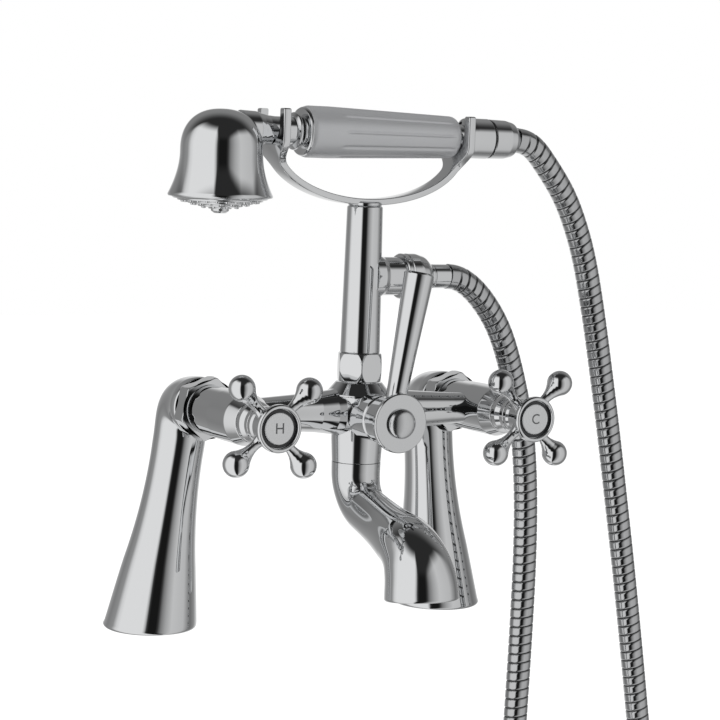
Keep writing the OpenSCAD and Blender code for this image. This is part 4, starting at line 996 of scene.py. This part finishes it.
turned("handset_tail_chrome",
       [(tube_r, grip_to), (7.15, grip_to), (7.15, 58.1, 0.3), (9.0, 58.5, 0.3), (10.6, 59.6, 0.8),
        (10.7, 63.0, 2), (10.7, 73.1, 0.3), (10.3, 73.5), (9.2, 73.5), (9.2, 80), (tube_r, 80)],
       hand, "handset", ["handset_tail"])
dress(black_rubber, "tail_seal_ring", "tail_washer")
turned("hose_nut_chrome",
       [(9.25, 74.5), (10.2, 74.5, 0.2), (10.5, 74.9, 0.3), (10.3, 84.4, 4), (9.3, 88.8, 3),
        (7.0, 91.5, 0.4), (6.45, 91.5), (6.45, 85.4), (9.25, 85.4)], hand, "handset", ["hose_nut"])
hose_ferrule = turned(
    "hose_ferrule_chrome", [(5.6, 85), (6.35, 85), (6.35, 91.8, 0.4), (6.0, 92.5, 0.2), (5.6, 92.5)],
    hand, "handset", ["hose_ferrule"], sides=64)


# Hose
# A rubber-lined hose of chromed brass strip wound in one right-handed helix, 1.24 m long with its ends.
# It hangs in one loop from the riser's outlet to the handset, in front of the bath's edge.
route = [
    (52, -59.6, 192.6), (57, -59.6, 192), (62.1, -59.4, 190.2), (67.3, -59, 187.2),
    (72.4, -58.6, 183.2), (77.5, -58, 178.3), (82.4, -57.3, 172.7), (87.5, -56.4, 165.9),
    (92.7, -55.2, 157.3), (97.9, -53.7, 146.6), (103.1, -52.3, 133.6), (108.6, -50.5, 118),
    (114, -49, 95), (117.8, -47.5, 65), (119.5, -46.5, 30), (119.5, -46, -8), (118.5, -46, -50),
    (117, -46, -95), (115, -46, -142), (113.5, -46, -192), (114.5, -46, -240), (121, -46, -285),
    (138, -46, -318), (167, -46, -330.7), (197, -46, -318), (214.5, -46, -285), (221, -46, -240),
    (220, -46, -192), (216, -46, -142), (209.5, -46, -95), (202.5, -46, -52), (195.5, -46, -11),
    (188.5, -46, 28), (181, -46.4, 66), (173, -47, 105), (165, -48, 140), (159.5, -49.1, 161.9),
    (154.1, -50.3, 181.2), (149.3, -51.5, 196.4), (144.2, -52.8, 209.5), (139, -54, 220.3),
    (133.6, -55.2, 229.9), (128.3, -56.3, 237.7), (122.9, -57.3, 244.3), (117.5, -58.1, 250.3),
    (112.4, -58.7, 255.7), (107.8, -59.2, 260.3), (103, -59.5, 263.9), (97.9, -59.6, 266),
    (92.5, -59.6, 266.8)
]
hose_r = 6.7
plain_end = 5
rib_pitch = 5.2
rib_steps = 12
seam_depth = 0.085
hose_sides = 32


def smooth_route(points, steps):
    points = [Vector(p) for p in points]
    ends = [2 * points[0] - points[1]] + points + [2 * points[-1] - points[-2]]
    line = []
    for k in range(len(points) - 1):
        a, b, c, d = ends[k:k + 4]
        for j in range(steps):
            f = j / steps
            line.append(0.5 * (2 * b + (c - a) * f + (2 * a - 5 * b + 4 * c - d) * f ** 2
                               + (3 * b - a - 3 * c + d) * f ** 3))
    return line + [points[-1]]


hose_line = smooth_route(route, 16)
hose_len = sum((b - a).length for a, b in zip(hose_line, hose_line[1:]))
hose_curve = bpy.data.curves.new("hose_line", 'CURVE')
hose_curve.dimensions = '3D'
spline = hose_curve.splines.new('POLY')
spline.points.add(len(hose_line) - 1)
for point, place in zip(spline.points, hose_line):
    point.co = (*(place * MM), 1)
hose_seed = linked("hose_line", hose_curve)

# Wound strip, chromed before winding: a soft mirror on the flats and dull down in the seams, where painted
# shade makes it nearly black.
hose_metal, tree = new_material("brass_strip_wound_chromed")
seam_dull_and_painted_shade = add(tree, "ShaderNodeAttribute", attribute_name="seam").outputs["Fac"]
flat_rough = mapped(tree, grain(tree, 3, Detail=3), (0.3, 0.7), (0.07, 0.13))
rough = maths(tree, 'MULTIPLY_ADD', seam_dull_and_painted_shade, 0.35, flat_rough)
# Painted shade: the base colour goes nearly black in the seams
painted_seam_shade = add(tree, "ShaderNodeMix", {"Factor": seam_dull_and_painted_shade}, data_type='RGBA')
painted_seam_shade.inputs[6].default_value = rgb("#BFC0C1")
painted_seam_shade.inputs[7].default_value = rgb("#2C2D2E")
surfaced(tree, {"Base Color": painted_seam_shade.outputs[2], "Metallic": 1.0, "Roughness": rough})

tree, sockets, given = new_group("ribbed_hose", (
    ("Ribs", "Int", round(hose_len / rib_pitch)), ("Steps", "Int", rib_steps),
    ("Radius", "Float", hose_r * MM), ("Depth", "Float", seam_depth), ("Plain", "Float", plain_end * MM),
    ("Line", "Object", hose_seed), ("Finish", "Material", hose_metal)))


def noted(source, name, value, kind='FLOAT'):
    return add(tree, "GeometryNodeStoreNamedAttribute", {"Geometry": source, "Name": name, "Value": value},
               data_type=kind, domain='POINT').outputs["Geometry"]


def recalled(name, kind='FLOAT'):
    return add(tree, "GeometryNodeInputNamedAttribute", {"Name": name}, data_type=kind).outputs["Attribute"]


line_info = add(tree, "GeometryNodeObjectInfo", {"Object": given["Line"]})
total = maths(tree, 'MULTIPLY_ADD', given["Ribs"], given["Steps"], 1.0)
evened = add(tree, "GeometryNodeResampleCurve", {"Curve": line_info.outputs["Geometry"], "Count": total})
index = add(tree, "GeometryNodeInputIndex").outputs[0]
spot = add(tree, "GeometryNodeInputPosition").outputs[0]
run = add(tree, "GeometryNodeSplineParameter").outputs["Length"]
whole = add(tree, "GeometryNodeSplineLength").outputs["Length"]
from_end = maths(tree, 'MINIMUM', run, maths(tree, 'SUBTRACT', whole, run))
wound = maths(tree, 'GREATER_THAN', from_end, given["Plain"])
marked = noted(evened.outputs["Curve"], "turn", maths(tree, 'DIVIDE', index, given["Steps"]))
marked = noted(marked, "wound", wound)
marked = noted(marked, "centre", spot, 'FLOAT_VECTOR')
wire = add(tree, "GeometryNodeCurvePrimitiveCircle", {"Resolution": hose_sides, "Radius": 1.0},
           mode='RADIUS')
wire = noted(wire.outputs["Curve"], "round", maths(tree, 'DIVIDE', index, hose_sides))
tube = add(tree, "GeometryNodeCurveToMesh",
           {"Curve": marked, "Scale": given["Radius"], "Profile Curve": wire, "Fill Caps": True})
phase = maths(tree, 'SUBTRACT', recalled("turn"), recalled("round"))
from_crown = maths(tree, 'SUBTRACT', maths(tree, 'FRACT', phase), 0.5)
seam = mapped(tree, maths(tree, 'ABSOLUTE', from_crown), (0.37, 0.47), smooth=True)
grooved = noted(tube.outputs["Mesh"], "seam", maths(tree, 'MULTIPLY', seam, recalled("wound")))
inwards = add(tree, "ShaderNodeVectorMath", {0: recalled("centre", 'FLOAT_VECTOR'), 1: spot},
              operation='SUBTRACT')
sunk = maths(tree, 'MULTIPLY', recalled("seam"), given["Depth"])
shift = add(tree, "ShaderNodeVectorMath", {0: inwards.outputs["Vector"], "Scale": sunk}, operation='SCALE')
grooved = add(tree, "GeometryNodeSetPosition", {"Geometry": grooved, "Offset": shift.outputs["Vector"]})
shaded = add(tree, "GeometryNodeSetShadeSmooth",
             {"Geometry": grooved.outputs["Geometry"], "Shade Smooth": True})
delivered(tree, shaded.outputs["Geometry"], given["Finish"])
hose = linked("shower_hose_chrome", grown("ribbed_hose", tree, sockets))
bpy.data.objects.remove(hose_seed)
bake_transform(hose)
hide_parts("shower_hose")


# Studio
# A pale floor below the hanging loop, a white room, and a tent of soft panels round the object
# that only its chrome mirrors: a bright bank on each side and a dark gap at the camera.
floor_z = -0.345
floor_half = 6
subject = Vector((0, -0.06, 0.12))


# 1 for what is seen straight, mirrored or through something clear, 0 for light that only scatters
def eye_rays(tree):
    rays = add(tree, "ShaderNodeLightPath").outputs
    shown = maths(tree, 'MAXIMUM', rays["Is Camera Ray"], rays["Is Glossy Ray"])
    return maths(tree, 'MAXIMUM', shown, rays["Is Transmission Ray"])


# White floor paint: matt, with a painted glow that the eye alone sees, dim near the object as painted shade
# and growing away from it.
material, tree = new_material("studio_floor_paint")
place = add(tree, "ShaderNodeTexCoord")
away = add(tree, "ShaderNodeVectorMath", {0: place.outputs["Object"]}, operation='LENGTH')
# Painted light: strength of the floor's glow, lowest near the object
pale = mapped(tree, away.outputs["Value"], (0.35, 1.0), (0.25, 0.62), smooth=True)
matt = add(tree, "ShaderNodeBsdfDiffuse", {"Color": rgb("#E6E6E6")})
glow = add(tree, "ShaderNodeEmission",
           {"Color": (1, 1, 1, 1), "Strength": maths(tree, 'MULTIPLY', pale, eye_rays(tree))})
both = add(tree, "ShaderNodeAddShader", {0: matt.outputs["BSDF"], 1: glow.outputs["Emission"]})
add(tree, "ShaderNodeOutputMaterial", {"Surface": both.outputs["Shader"]})
bm = bmesh.new()
bmesh.ops.create_grid(bm, x_segments=1, y_segments=1, size=floor_half)
mesh = mesh_of("studio_floor", bm)
mesh.transform(Matrix.Translation((0, 0, floor_z)))
mesh.materials.append(material)
linked("studio_floor", mesh)

# Brightness of the tent by bearing from the camera, in degrees to the right; 1 is the white banks
tent_bearings = ((-180, 0.84), (-164, 0.76), (-146, 0.4), (-122, 0.27), (-100, 0.36), (-88, 0.84),
                 (-78, 0.98), (-20, 0.98), (-15, 0.6), (-11, 0.05), (-6, 0.012), (12, 0.012), (17, 0.05),
                 (25, 0.27), (36, 0.48), (54, 0.72), (92, 0.64), (106, 0.4), (122, 0.2), (146, 0.34),
                 (164, 0.7), (180, 0.84))
tent_r = 1.0

# Lit cloth: bright in its banks and dim overhead. The dim part comes lower behind the object,
# and stays higher over the bright banks.
material, tree = new_material("studio_tent_cloth")
place = add(tree, "ShaderNodeTexCoord")
middle = add(tree, "ShaderNodeVectorMath", {0: place.outputs["Object"], 1: tuple(subject)},
             operation='SUBTRACT')
toward = add(tree, "ShaderNodeVectorMath", {0: middle.outputs["Vector"]}, operation='NORMALIZE')
camera_side = (-math.sin(camera_turn), -math.cos(camera_turn), 0)
ahead, aside = (add(tree, "ShaderNodeVectorMath", {0: toward.outputs["Vector"], 1: way},
                    operation='DOT_PRODUCT').outputs["Value"] for way in (camera_side, tuple(level_right)))
bearing = mapped(tree, maths(tree, 'ARCTAN2', aside, ahead), (-math.pi, math.pi))
round_ramp = add(tree, "ShaderNodeValToRGB", {"Fac": bearing})
stops = round_ramp.color_ramp.elements
for bearing_at, level in tent_bearings[1:-1]:
    stops.new((bearing_at + 180) / 360)
for stop, (bearing_at, level) in zip(stops, tent_bearings):
    stop.color = (level, level, level, 1)
lift = add(tree, "ShaderNodeSeparateXYZ", {"Vector": toward.outputs["Vector"]})
back = mapped(tree, ahead, (0.05, -0.6), smooth=True)
dim = mapped(tree, back, to=(0.03, 0.27))
raised = maths(tree, 'MULTIPLY_ADD', back, 0.32, lift.outputs["Z"])
arched = maths(tree, 'MULTIPLY_ADD', round_ramp.outputs["Color"], -0.3, raised)
high = mapped(tree, arched, (0.36, 0.6), smooth=True)
level = add(tree, "ShaderNodeMix", {"Factor": high, 6: round_ramp.outputs["Color"], 7: dim},
            data_type='RGBA')
glow = add(tree, "ShaderNodeEmission", {"Color": level.outputs[2], "Strength": 1.0})
add(tree, "ShaderNodeOutputMaterial", {"Surface": glow.outputs["Emission"]})
bm = bmesh.new()
bmesh.ops.create_uvsphere(bm, u_segments=64, v_segments=32, radius=tent_r)
mesh = mesh_of("studio_tent", bm)
mesh.transform(Matrix.Translation(subject))
for vertex in mesh.vertices:
    vertex.co.z = max(vertex.co.z, floor_z + 0.002)
mesh.materials.append(material)
tent = linked("studio_tent", mesh)
tent.visible_camera = False
tent.visible_shadow = False
tent.visible_diffuse = False

lamp_data = bpy.data.lights.new("soft_key", 'AREA')
lamp_data.shape = 'RECTANGLE'
lamp_data.size = 1.6
lamp_data.size_y = 1.6
lamp_data.energy = 20
lamp = linked("soft_key", lamp_data)
lamp.location = (-1.5, -1.7, 1.5)
lamp.rotation_euler = (subject - lamp.location).to_track_quat('-Z', 'Y').to_euler()
lamp.visible_glossy = False

world = bpy.data.worlds.new("white_room")
bpy.context.scene.world = world
world.use_nodes = True
tree = world.node_tree
tree.nodes.clear()
level = mapped(tree, eye_rays(tree), to=(0.6, 1.0))
room = add(tree, "ShaderNodeBackground", {"Color": (1, 1, 1, 1), "Strength": level})
add(tree, "ShaderNodeOutputWorld", {"Surface": room.outputs["Background"]})
bpy.context.scene.view_settings.view_transform = 'Standard'
